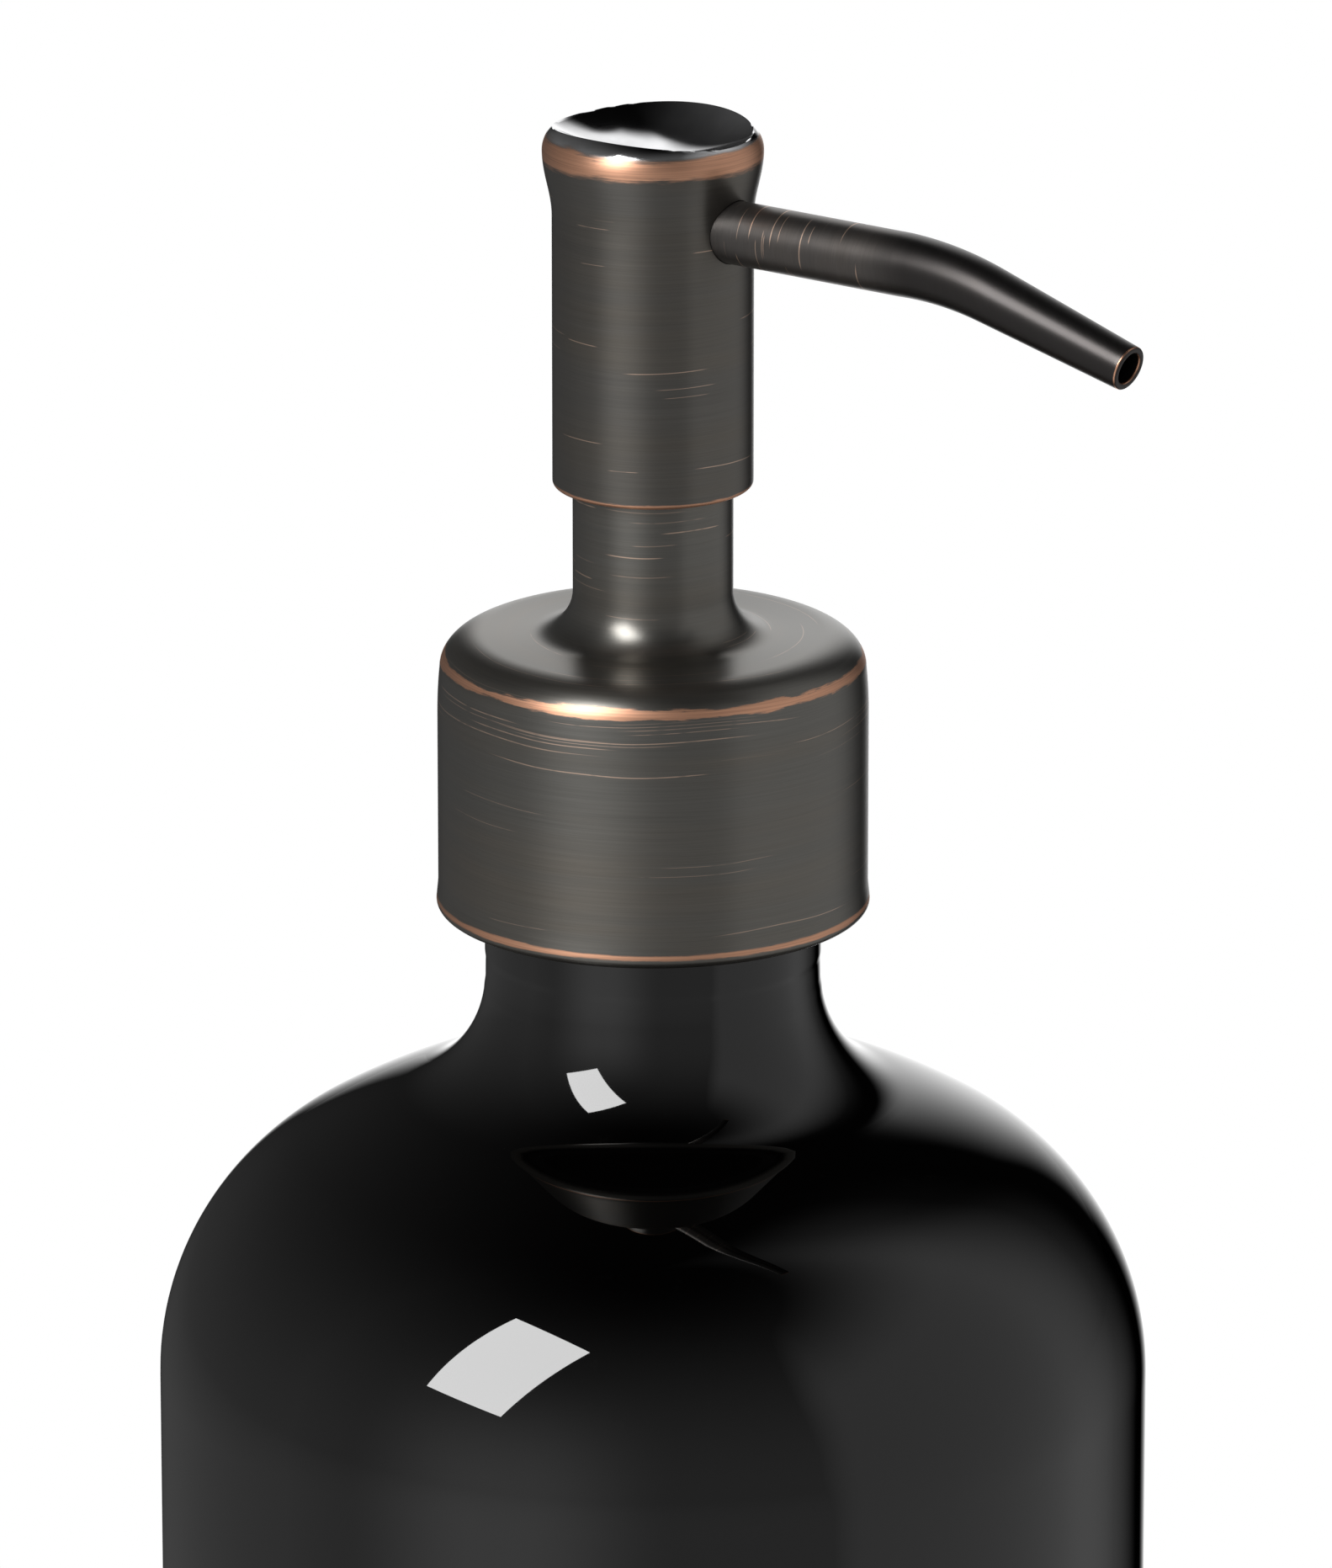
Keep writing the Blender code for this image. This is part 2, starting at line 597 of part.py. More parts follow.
def make_piston_stem(plastic, head):
    spigot_end = RETAINER_Z + RETAINER_FLOOR + GAP
    valve = OUTLET_BALL_RADIUS + OUTLET_CLEARANCE
    outline = [
        (STEM_RADIUS, STEM_TOP_Z),
        (STEM_RADIUS, STEM_SHOULDER_Z),
        (STEM_SPIGOT, STEM_SHOULDER_Z),
        (STEM_SPIGOT, spigot_end),
        (STEM_BORE, spigot_end),
        (STEM_BORE, OUTLET_SEAT_Z),
        (valve, OUTLET_SEAT_Z),
        (valve, STEM_TOP_Z),
    ]
    turned("piston_stem", outline, INNER_SIDES, plastic, head)


def make_piston_retainer(plastic, head):
    """Ferrule on the stem's end: it holds the piston up and the spring pushes on its flange."""
    flange = HOUSING_BORE - SPRING_SLACK
    bore = STEM_SPIGOT + GAP
    boss = bore + RETAINER_BOSS
    outline = [
        (flange, RETAINER_TOP_Z),
        (flange, RETAINER_TOP_Z - RETAINER_FLANGE),
        (boss, RETAINER_TOP_Z - RETAINER_FLANGE),
        (boss, RETAINER_Z),
        (STEM_BORE, RETAINER_Z),
        (STEM_BORE, RETAINER_Z + RETAINER_FLOOR),
        (bore, RETAINER_Z + RETAINER_FLOOR),
        (bore, RETAINER_TOP_Z),
    ]
    turned("piston_retainer", outline, SMALL_SIDES, plastic, head)


def flare_outline():
    """The head's side from its widest point down to the plain barrel, as one smooth S."""
    points = []
    for step in range(FLARE_STEPS + 1):
        fall = step / FLARE_STEPS
        swell = (1 + math.cos(math.pi * fall)) / 2
        points.append((HEAD_RADIUS + FLARE * swell, RIM_Z - FLARE_LENGTH * fall))
    return points


def scoop_cutter():
    """Ellipsoid whose bottom has the scoop's two curvatures."""
    mesh = bpy.data.meshes.new("thumb_scoop")
    shape = bmesh.new()
    bmesh.ops.create_uvsphere(shape, u_segments=SCOOP_SIDES, v_segments=SCOOP_RINGS, radius=1)
    radii = (
        math.sqrt(SCOOP_LENGTH_RADIUS * SCOOP_DEPTH_RADIUS),
        math.sqrt(SCOOP_WIDTH_RADIUS * SCOOP_DEPTH_RADIUS),
        SCOOP_DEPTH_RADIUS,
    )
    shape.transform(Matrix.Translation((0, 0, SCOOP_Z + SCOOP_DEPTH_RADIUS)) @ Matrix.Diagonal((*radii, 1)))
    shape.to_mesh(mesh)
    shape.free()
    return place_cutter("thumb_scoop", mesh)


def make_head_shell(bronze, head):
    roof = SCOOP_Z - HEAD_ROOF
    rim_r = HEAD_RADIUS + FLARE
    crown = arc((rim_r - RIM_INSET, RIM_Z), (RIM_INSET, RIM_HEIGHT), math.pi / 2, 0, CROWN_STEPS)
    outline = (
        [(0, RIM_Z + RIM_HEIGHT)]
        + crown
        + flare_outline()[1:]
        + [
            (HEAD_RADIUS, HEAD_Z + HEAD_EDGE),
            (HEAD_RADIUS - HEAD_EDGE, HEAD_Z),
            (HEAD_BORE, HEAD_Z),
            (HEAD_BORE, roof),
            (0, roof),
        ]
    )
    shell = turned("head_shell", outline, METAL_SIDES, bronze, head, closed=False)
    combine(shell, scoop_cutter(), "DIFFERENCE")
    inside = (HEAD_BORE / 2, 0, SPOUT_Z)
    outside = (HEAD_RADIUS + FLARE + CUT_OVERRUN, 0, SPOUT_Z)
    combine(shell, cylinder_cutter("spout_hole", SPOUT_SOCKET, inside, outside), "DIFFERENCE")


def make_head_core(plastic, head):
    """Plug in the head: stem socket below, spout socket at the side, and a channel that joins them."""
    outer = HEAD_BORE - GAP
    socket_end = CORE_Z + STEM_SOCKET
    outline = [
        (0, CORE_TOP_Z),
        (outer, CORE_TOP_Z),
        (outer, CORE_Z),
        (STEM_GUIDE, CORE_Z),
        (STEM_GUIDE, socket_end),
        (0, socket_end),
    ]
    core = turned("head_core", outline, INNER_SIDES, plastic, head, closed=False)
    socket_x = SPOUT_INSERT - GAP
    socket = cylinder_cutter("spout_socket", SPOUT_SOCKET, (socket_x, 0, SPOUT_Z), (HEAD_RADIUS, 0, SPOUT_Z))
    centre = (0, 0, SPOUT_Z)
    riser = cylinder_cutter("riser", CORE_CHANNEL, (0, 0, socket_end - GAP), centre, PORT_SIDES)
    blind_end = (-CORE_CHANNEL / 2, 0, SPOUT_Z)
    cross = cylinder_cutter("cross_channel", CORE_CHANNEL, blind_end, (SPOUT_INSERT, 0, SPOUT_Z), PORT_SIDES)
    for cutter in (socket, riser, cross):
        combine(core, cutter, "DIFFERENCE")


def spout_path():
    """Stations along the spout's centreline, each with how far it is from straight run to tip."""
    pivot = Vector((SPOUT_STRAIGHT, 0, SPOUT_Z - SPOUT_BEND_RADIUS))
    bend_length = SPOUT_BEND_RADIUS * SPOUT_BEND
    length = bend_length + SPOUT_DOWN
    stations = [(Vector((SPOUT_INSERT, 0, SPOUT_Z)), 0.0)]
    for step in range(BEND_STEPS + 1):
        share = step / BEND_STEPS
        angle = SPOUT_BEND * share
        point = pivot + SPOUT_BEND_RADIUS * Vector((math.sin(angle), 0, math.cos(angle)))
        stations.append((point, share * bend_length / length))
    tip = stations[-1][0] + SPOUT_DOWN * Vector((math.cos(SPOUT_BEND), 0, -math.sin(SPOUT_BEND)))
    stations.append((tip, 1.0))
    return stations


def tube_mesh(name, root_radius, tip_radius, overrun):
    """A tapered round bar along the spout's centreline, as a mesh; overrun lengthens both ends."""
    stations = spout_path()
    points = [point for point, _ in stations]
    points[0] = points[0] + overrun * (points[0] - points[1]).normalized()
    points[-1] = points[-1] + overrun * (points[-1] - points[-2]).normalized()
    curve = bpy.data.curves.new(name, "CURVE")
    curve.dimensions = "3D"
    curve.bevel_depth = root_radius
    curve.bevel_resolution = 6
    curve.use_fill_caps = True
    spline = curve.splines.new("POLY")
    spline.points.add(len(points) - 1)
    for target, point, (_, share) in zip(spline.points, points, stations):
        target.co = (*point, 1)
        target.radius = 1 + (tip_radius / root_radius - 1) * share
    bar = bpy.data.objects.new(name, curve)
    CUTTERS.objects.link(bar)
    bpy.context.view_layer.update()
    mesh = bpy.data.meshes.new_from_object(bar.evaluated_get(bpy.context.evaluated_depsgraph_get()))
    bpy.data.objects.remove(bar)
    shape = bmesh.new()
    shape.from_mesh(mesh)
    bmesh.ops.remove_doubles(shape, verts=shape.verts, dist=1e-6)
    shape.to_mesh(mesh)
    shape.free()
    mesh.name = name
    return mesh


def make_spout(bronze, head):
    outside = tube_mesh("spout_tube", SPOUT_RADIUS, SPOUT_TIP_RADIUS, 0)
    bore = tube_mesh("spout_bore", SPOUT_RADIUS - SPOUT_WALL, SPOUT_TIP_RADIUS - SPOUT_TIP_WALL, GAP)
    tube = place("spout_tube", outside, PARTS, bronze)
    tube.parent = head
    tube.location = -head.location
    combine(tube, place_cutter("spout_bore", bore), "DIFFERENCE")


def empty(name, height, parent=None):
    """A pivot on the bottle's axis."""
    pivot = bpy.data.objects.new(name, None)
    pivot.empty_display_size = BOTTLE_RADIUS / 4
    pivot.location = (0, 0, height)
    PARTS.objects.link(pivot)
    if parent:
        pivot.parent = parent
        pivot.location.z -= parent.location.z
    return pivot


clear_scene()
PARTS = new_collection("soap_pump_dispenser")
CUTTERS = new_collection("cutters", hidden=True)


def build():
    glass = finish("black_glass", (0.012, 0.012, 0.014), 0.04)
    collar_metal = finish("collar_bronze", (0.085, 0.072, 0.062), 0.36, 1.0)
    head_metal = finish("head_bronze", (0.082, 0.07, 0.06), 0.34, 1.0)
    spout_metal = finish("spout_bronze", (0.07, 0.062, 0.056), 0.24, 1.0)
    closure_plastic = finish("closure_plastic", (0.03, 0.03, 0.03), 0.5)
    clear_plastic = finish("natural_plastic", (0.8, 0.8, 0.78), 0.45)
    seal_plastic = finish("seal_plastic", (0.7, 0.75, 0.8), 0.5)
    gasket_foam = finish("gasket_foam", (0.75, 0.75, 0.73), 0.8)
    steel = finish("spring_steel", (0.62, 0.62, 0.64), 0.25, 1.0)

    make_bottle(glass)
    pump = empty("pump_pivot", 0)
    collar = empty("collar_pivot", 0)
    head = empty("head_pivot", 0)
    make_neck_gasket(gasket_foam, pump)
    make_pump_housing(clear_plastic, pump)
    make_housing_cap(clear_plastic, pump)
    make_ball_retainer(clear_plastic, pump)
    make_dip_tube(clear_plastic, pump)
    make_spring(steel, pump)
    make_ball("inlet_ball", INLET_BALL_RADIUS, INLET_BALL_Z, steel, pump)
    make_collar_insert(closure_plastic, collar)
    make_collar_shell(collar_metal, collar)
    make_guide_bush(clear_plastic, collar)
    make_piston_seal(seal_plastic, head)
    make_piston_stem(clear_plastic, head)
    make_piston_retainer(clear_plastic, head)
    make_ball("outlet_ball", OUTLET_BALL_RADIUS, OUTLET_BALL_Z, steel, head)
    make_head_core(clear_plastic, head)
    make_head_shell(head_metal, head)
    make_spout(spout_metal, head)


build()
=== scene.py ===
import bpy
import math
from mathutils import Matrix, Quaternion, Vector


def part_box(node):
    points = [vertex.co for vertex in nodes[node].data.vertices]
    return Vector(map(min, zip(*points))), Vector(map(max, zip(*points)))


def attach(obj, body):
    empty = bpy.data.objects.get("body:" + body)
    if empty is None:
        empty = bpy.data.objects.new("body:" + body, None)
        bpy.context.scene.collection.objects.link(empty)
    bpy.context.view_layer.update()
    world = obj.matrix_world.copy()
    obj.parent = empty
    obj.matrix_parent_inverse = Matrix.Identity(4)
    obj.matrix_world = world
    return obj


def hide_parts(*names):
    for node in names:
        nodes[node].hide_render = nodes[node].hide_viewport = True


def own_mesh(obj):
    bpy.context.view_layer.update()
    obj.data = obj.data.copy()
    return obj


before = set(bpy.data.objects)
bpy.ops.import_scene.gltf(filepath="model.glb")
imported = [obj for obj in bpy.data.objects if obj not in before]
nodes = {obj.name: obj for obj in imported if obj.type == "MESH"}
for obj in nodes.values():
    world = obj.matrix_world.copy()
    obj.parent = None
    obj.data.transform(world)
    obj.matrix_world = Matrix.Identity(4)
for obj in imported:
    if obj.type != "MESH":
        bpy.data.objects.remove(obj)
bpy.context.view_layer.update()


def deselectAll():
    if bpy.context.object and bpy.context.object.mode == "EDIT":
        bpy.ops.object.mode_set(mode="OBJECT")
    bpy.ops.object.select_all(action="DESELECT")


def makeActive(piece):
    deselectAll()
    piece.select_set(True)
    bpy.context.view_layer.objects.active = piece


def editAll(piece):
    makeActive(piece)
    bpy.ops.object.mode_set(mode="EDIT")
    bpy.ops.mesh.select_all(action="SELECT")


def faceOutward():
    # the last step of an edit
    bpy.ops.mesh.select_all(action="SELECT")
    bpy.ops.mesh.normals_make_consistent(inside=False)
    bpy.ops.object.mode_set(mode="OBJECT")


def applyModifiers(piece):
    makeActive(piece)
    for modifier in list(piece.modifiers):
        bpy.ops.object.modifier_apply(modifier=modifier.name)


def arc(centre, size, start, end, steps):
    # points on an arc, angles in degrees; size is a radius or (width, height)
    width, height = size if isinstance(size, tuple) else (size, size)
    turns = [math.radians(start + (end - start) * step / steps) for step in range(steps + 1)]
    return [(centre[0] + width * math.cos(t), centre[1] + height * math.sin(t)) for t in turns]


def run(start, end, steps):
    # evenly spaced points of a straight run, without its first point
    across, up = end[0] - start[0], end[1] - start[1]
    return [(start[0] + across * step / steps, start[1] + up * step / steps)
            for step in range(1, steps + 1)]


def turnedPiece(name, outline, segments):
    # one vertex of a small plane is drawn along the outline, then spun round the axis
    deselectAll()
    bpy.ops.mesh.primitive_plane_add(size=0.001, location=(0, 0, 0))
    piece = bpy.context.object
    piece.name = name
    editAll(piece)
    bpy.ops.mesh.merge(type="CENTER")
    bpy.ops.transform.translate(value=(outline[0][0], 0, outline[0][1]))
    for here, there in zip(outline, outline[1:]):
        step = (there[0] - here[0], 0, there[1] - here[1])
        bpy.ops.mesh.extrude_region_move(TRANSFORM_OT_translate={"value": step})
    bpy.ops.mesh.select_all(action="SELECT")
    bpy.ops.mesh.remove_doubles(threshold=1e-6)
    bpy.ops.mesh.spin(steps=segments, angle=2 * math.pi, center=(0, 0, 0), axis=(0, 0, 1))
    bpy.ops.mesh.select_all(action="SELECT")
    bpy.ops.mesh.remove_doubles(threshold=1e-6)
    faceOutward()
    return piece


def smooth(piece, degrees=35):
    makeActive(piece)
    bpy.ops.object.shade_smooth_by_angle(angle=math.radians(degrees))


def combine(piece, other, operation):
    boolean = piece.modifiers.new(other.name, "BOOLEAN")
    boolean.operation = operation
    boolean.object = other
    applyModifiers(piece)
    bpy.data.objects.remove(other)


def install(piece, body, slot, material, *replaced):
    piece.data.materials.clear()
    piece.data.materials.append(material)
    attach(piece, body)
    if replaced:
        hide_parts(*replaced)
    print("made", piece.name, len(piece.data.polygons), "faces")


def newTree(name):
    material = bpy.data.materials.new(name)
    material.use_nodes = True
    return material, material.node_tree, material.node_tree.nodes["Principled BSDF"]


def add(tree, kind, **settings):
    node = tree.nodes.new(kind)
    for key, value in settings.items():
        setattr(node, key, value)
    return node


def setOrLink(tree, socket, value):
    # a number or colour is set on the socket, anything else is linked to it
    if isinstance(value, tuple):
        socket.default_value = (*value, 1.0)
    elif isinstance(value, (int, float)):
        socket.default_value = value
    else:
        tree.links.new(value, socket)


def calculate(tree, operation, *values):
    node = add(tree, "ShaderNodeMath", operation=operation)
    for socket, value in zip(node.inputs, values):
        setOrLink(tree, socket, value)
    return node.outputs[0]


def times(tree, a, b):
    return calculate(tree, "MULTIPLY", a, b)


def plus(tree, a, b):
    return calculate(tree, "ADD", a, b)


def minus(tree, a, b):
    return calculate(tree, "SUBTRACT", a, b)


def larger(tree, a, b):
    return calculate(tree, "MAXIMUM", a, b)


def ramp(tree, value, low, high, curve="SMOOTHSTEP"):
    # 0 to 1 as value goes from low to high
    node = add(tree, "ShaderNodeMapRange", interpolation_type=curve)
    for label, setting in (("Value", value), ("From Min", low), ("From Max", high)):
        setOrLink(tree, node.inputs[label], setting)
    return node.outputs["Result"]


def noise(tree, vector, scale, detail, roughness):
    node = add(tree, "ShaderNodeTexNoise")
    settings = {"Vector": vector, "Scale": scale, "Detail": detail, "Roughness": roughness}
    for label, setting in settings.items():
        setOrLink(tree, node.inputs[label], setting)
    return node.outputs["Fac"]


def mixColour(tree, factor, a, b, blend="MIX"):
    node = add(tree, "ShaderNodeMix", data_type="RGBA", blend_type=blend)
    sockets = (node.inputs["Factor"], node.inputs[6], node.inputs[7])
    for socket, value in zip(sockets, (factor, a, b)):
        setOrLink(tree, socket, value)
    return node.outputs[2]


def objectPlace(tree):
    return add(tree, "ShaderNodeTexCoord").outputs["Object"]


def splitPlace(tree, vector):
    split = add(tree, "ShaderNodeSeparateXYZ")
    tree.links.new(vector, split.inputs[0])
    return split.outputs


def stretch(tree, numbers, scales):
    joined = add(tree, "ShaderNodeCombineXYZ")
    for socket, number, scale in zip(joined.inputs, numbers, scales):
        tree.links.new(times(tree, number, scale), socket)
    return joined.outputs[0]


def fromAxis(tree, x, y):
    return calculate(tree, "SQRT", plus(tree, times(tree, x, x), times(tree, y, y)))


def shadeBy(tree, colour, value, shades):
    # colour made darker or lighter as value runs from 0.3 to 0.7
    strength = add(tree, "ShaderNodeMapRange")
    labels = ("Value", "From Min", "From Max", "To Min", "To Max")
    for label, setting in zip(labels, (value, 0.3, 0.7, *shades)):
        setOrLink(tree, strength.inputs[label], setting)
    shade = add(tree, "ShaderNodeCombineColor")
    for socket in shade.inputs[:3]:
        tree.links.new(strength.outputs[0], socket)
    return mixColour(tree, 1.0, colour, shade.outputs[0], "MULTIPLY")


def feed(tree, shader, base, roughness):
    tree.links.new(base, shader.inputs["Base Color"])
    tree.links.new(roughness, shader.inputs["Roughness"])


def addBump(tree, shader, height, strength, depth):
    bump = add(tree, "ShaderNodeBump")
    bump.inputs["Strength"].default_value = strength
    bump.inputs["Distance"].default_value = depth
    tree.links.new(height, bump.inputs["Height"])
    tree.links.new(bump.outputs[0], shader.inputs["Normal"])


def group(name, settings, *results):
    # a shared effect: takes a Vector and the settings, gives the results as numbers
    tree = bpy.data.node_groups.new(name, "ShaderNodeTree")
    new = tree.interface.new_socket
    new(name="Vector", in_out="INPUT", socket_type="NodeSocketVector")
    for label, value in settings.items():
        new(name=label, in_out="INPUT", socket_type="NodeSocketFloat").default_value = value
    for label in results:
        new(name=label, in_out="OUTPUT", socket_type="NodeSocketFloat")
    given = tree.nodes.new("NodeGroupInput").outputs
    return tree, given, tree.nodes.new("NodeGroupOutput").inputs


def useGroup(tree, groupTree, vector, **values):
    node = tree.nodes.new("ShaderNodeGroup")
    node.node_tree = groupTree
    tree.links.new(vector, node.inputs["Vector"])
    for label, value in values.items():
        node.inputs[label].default_value = value
    return node.outputs


grainValues = {
    "coarse": (1.0, 0.35),  # shares of the Arc and Fineness settings
    "fine": (2.0, 1.6),
    "smear": (0.5, 0.03),
    "coarseShare": 0.35,
    "noiseRoughness": 0.6,
}


def makeTurnedGrain():
    # brush marks that run round the Z axis: on a side they follow height, on a top radius
    v = grainValues
    settings = {"Fineness": 6000.0, "Arc": 60.0}
    tree, given, result = group("turnedGrain", settings, "Grain", "Smear")
    x, y, z = splitPlace(tree, given["Vector"])
    along = minus(tree, z, fromAxis(tree, x, y))

    def marks(arcShare, fineShare, detail):
        arcScale = times(tree, given["Arc"], arcShare)
        fineScale = times(tree, given["Fineness"], fineShare)
        place = stretch(tree, (x, y, along), (arcScale, arcScale, fineScale))
        return noise(tree, place, 1.0, detail, v["noiseRoughness"])

    coarse = times(tree, marks(*v["coarse"], 3.0), v["coarseShare"])
    fine = times(tree, marks(*v["fine"], 2.0), 1 - v["coarseShare"])
    tree.links.new(plus(tree, coarse, fine), result["Grain"])
    tree.links.new(marks(*v["smear"], 3.0), result["Smear"])
    return tree


wearValues = {
    "edgeFineness": 5000.0,
    "slowScale": 130.0,
}


def makeWearBand():
    # band rubbed through round one height, with edges as ragged as the grain
    v = wearValues
    settings = {"Height": 0.0, "Width": 0.0005, "Ragged": 0.0003, "Softness": 0.0001, "Arc": 300.0}
    tree, given, result = group("wearBand", settings, "Mask")
    x, y, z = splitPlace(tree, given["Vector"])
    place = stretch(tree, (x, y, z), (given["Arc"], given["Arc"], v["edgeFineness"]))
    wobble = minus(tree, noise(tree, place, 1.0, 5.0, 0.65), 0.5)
    slow = minus(tree, noise(tree, given["Vector"], v["slowScale"], 2.0, 0.5), 0.5)
    shift = times(tree, plus(tree, wobble, slow), given["Ragged"])
    away = calculate(tree, "ABSOLUTE", minus(tree, z, given["Height"]))
    reach = minus(tree, plus(tree, away, shift), given["Width"])
    inside = ramp(tree, reach, times(tree, given["Softness"], -1.0), given["Softness"])
    tree.links.new(minus(tree, 1.0, inside), result["Mask"])
    return tree


scratchValues = {
    "swayScale": 70.0,
    "sway": 0.0012,  # how far a row wanders up and down
    "margin": 0.2,  # share of a row kept clear at each side
    "shortest": 0.35,  # shortest arc, as a share of Length
    "taper": 0.6,  # share of the arc over which it swells
    "thinEnd": 0.4,  # thickness at an arc's ends
    "core": 0.3,  # share of the thickness at full strength
    "breakScale": 500.0,
    "breaks": (0.22, 0.5),
    "smallestRadius": 0.0001,
}


def makeScratchRows():
    # thin arcs round the Z axis: each row holds one, with its own place, length and strength
    v = scratchValues
    settings = {"Spacing": 0.002, "Seed": 0.0, "Thickness": 0.00005, "Length": 0.5, "Share": 0.5}
    tree, given, result = group("scratchRows", settings, "Mask")
    x, y, z = splitPlace(tree, given["Vector"])
    radius = fromAxis(tree, x, y)
    sway = times(tree, noise(tree, given["Vector"], v["swayScale"], 1.0, 0.5), v["sway"])
    along = plus(tree, minus(tree, z, radius), sway)
    rows = calculate(tree, "DIVIDE", along, given["Spacing"])
    chance = add(tree, "ShaderNodeTexWhiteNoise", noise_dimensions="1D")
    tree.links.new(plus(tree, calculate(tree, "FLOOR", rows), given["Seed"]), chance.inputs["W"])
    picks = add(tree, "ShaderNodeSeparateColor")
    tree.links.new(chance.outputs["Color"], picks.inputs[0])
    placePick, turnPick, lengthPick = picks.outputs
    # how far the surface is from the row's line
    centre = plus(tree, v["margin"], times(tree, placePick, 1 - 2 * v["margin"]))
    away = calculate(tree, "ABSOLUTE", minus(tree, calculate(tree, "FRACT", rows), centre))
    away = times(tree, away, given["Spacing"])
    # how squarely it faces the middle of the arc
    middle = times(tree, turnPick, 2 * math.pi)
    toMiddle = plus(tree, times(tree, x, calculate(tree, "COSINE", middle)),
                    times(tree, y, calculate(tree, "SINE", middle)))
    facing = calculate(tree, "DIVIDE", toMiddle, larger(tree, radius, v["smallestRadius"]))
    share = plus(tree, v["shortest"], times(tree, lengthPick, 1 - v["shortest"]))
    edge = calculate(tree, "COSINE", times(tree, given["Length"], share))
    full = plus(tree, edge, times(tree, minus(tree, 1.0, edge), v["taper"]))
    arcMask = ramp(tree, facing, edge, full)
    swell = plus(tree, v["thinEnd"], times(tree, arcMask, 1 - v["thinEnd"]))
    thick = times(tree, given["Thickness"], swell)
    line = times(tree, ramp(tree, away, thick, times(tree, thick, v["core"])), arcMask)
    line = times(tree, line, calculate(tree, "LESS_THAN", chance.outputs["Value"], given["Share"]))
    broken = ramp(tree, noise(tree, given["Vector"], v["breakScale"], 2.0, 0.6), *v["breaks"])
    tree.links.new(times(tree, line, broken), result["Mask"])
    return tree


mouldValues = {
    "flow": 0.35,  # squeezes the sink marks' pattern along Z, so they run long
    "shade": 0.75,  # share of sink marks against grain
    "relief": 0.3,
}


def makeMouldSkin():
    # faint sink marks, flow lines and grain of a moulded or extruded plastic
    v = mouldValues
    tree, given, result = group("mouldSkin", {"Mottle": 180.0, "Grain": 6000.0}, "Shade", "Relief")

    def scaled(label, flow):
        mapping = add(tree, "ShaderNodeVectorMath", operation="SCALE")
        tree.links.new(given["Vector"], mapping.inputs[0])
        tree.links.new(given[label], mapping.inputs["Scale"])
        shaped = add(tree, "ShaderNodeMapping", vector_type="POINT")
        shaped.inputs["Scale"].default_value = (1.0, 1.0, flow)
        tree.links.new(mapping.outputs[0], shaped.inputs["Vector"])
        return shaped.outputs[0]

    mottle = noise(tree, scaled("Mottle", v["flow"]), 1.0, 4.0, 0.55)
    pits = noise(tree, scaled("Grain", 1.0), 1.0, 2.0, 0.6)
    for label, share in (("Shade", v["shade"]), ("Relief", v["relief"])):
        both = plus(tree, times(tree, mottle, share), times(tree, pits, 1 - share))
        tree.links.new(both, result[label])
    return tree


turnedGrain = makeTurnedGrain()
scratchRows = makeScratchRows()
mouldSkin = makeMouldSkin()
wearBand = makeWearBand()
print("shared effects ready")


bronzeValues = {
    "patina": (0.138, 0.134, 0.124),
    "patinaWarm": (0.148, 0.136, 0.119),
    "smear": (0.35, 0.75),
    "grainShade": (0.91, 1.1),
    "grainRoughness": 0.1,
    "copper": (0.6, 0.325, 0.21),
    "copperShade": (0.72, 1.25),
    "scratch": (0.66, 0.47, 0.36),
    "scratchDepth": 0.6,
    "scratchFade": 0.0004,  # a set of scratches fades over this at its two heights
    "polished": (0.6, 0.6, 0.61),
    "filmScale": 260.0,
    "filmShade": (0.85, 1.15),
    "filmRoughness": 0.04,
    "metallic": 0.97,
    "roughness": 0.335,
    "wornRoughness": 0.44,
    "polishedRoughness": 0.09,
    "anisotropy": 0.5,
    "anisotropyTurn": 0.25,
    "fineness": 9000.0,
    "arc": 55.0,
    "relief": 0.16,
    "reliefDepth": 0.00001,
    "grainTo": None,  # height above which the end is smooth and dark
    "endFade": (-0.004, 0.001),
    "endColour": (0.03, 0.028, 0.028),
    "endShade": 0.8,
    "endGloss": 0.04,
    "polishFrom": None,  # height above which the rim is rubbed bright
    "polishFade": 0.0004,
    "dish": (0.00785, 0.00716),  # half length and half width of the thumb dish
    "dishEdge": 0.975,
    "dishFloor": None,
    "dishFade": (-0.0003, -0.0001),
}


def insideDish(tree, place, v):
    # 1 inside the oval edge of the thumb dish, 0 outside
    scaled = add(tree, "ShaderNodeMapping", vector_type="POINT")
    scaled.inputs["Scale"].default_value = (1 / v["dish"][0], 1 / v["dish"][1], 0)
    tree.links.new(place, scaled.inputs["Vector"])
    reach = add(tree, "ShaderNodeVectorMath", operation="LENGTH")
    tree.links.new(scaled.outputs[0], reach.inputs[0])
    return ramp(tree, reach.outputs["Value"], 1.0, v["dishEdge"])


def placed(tree, place, origin, turn):
    mapping = add(tree, "ShaderNodeMapping", vector_type="TEXTURE")
    mapping.inputs["Location"].default_value = origin
    mapping.inputs["Rotation"].default_value = turn
    tree.links.new(place, mapping.inputs["Vector"])
    return mapping.outputs[0]


def scratchesOn(tree, place, height, sets, soft):
    # every set of arcs keeps between its own two heights
    total = 0.0
    for low, high, strength, settings in sets:
        mask = useGroup(tree, scratchRows, place, **settings)["Mask"]
        fit = times(tree, ramp(tree, height, low - soft, low + soft),
                    ramp(tree, height, high + soft, high - soft))
        total = larger(tree, times(tree, times(tree, mask, strength), fit), total)
    return total


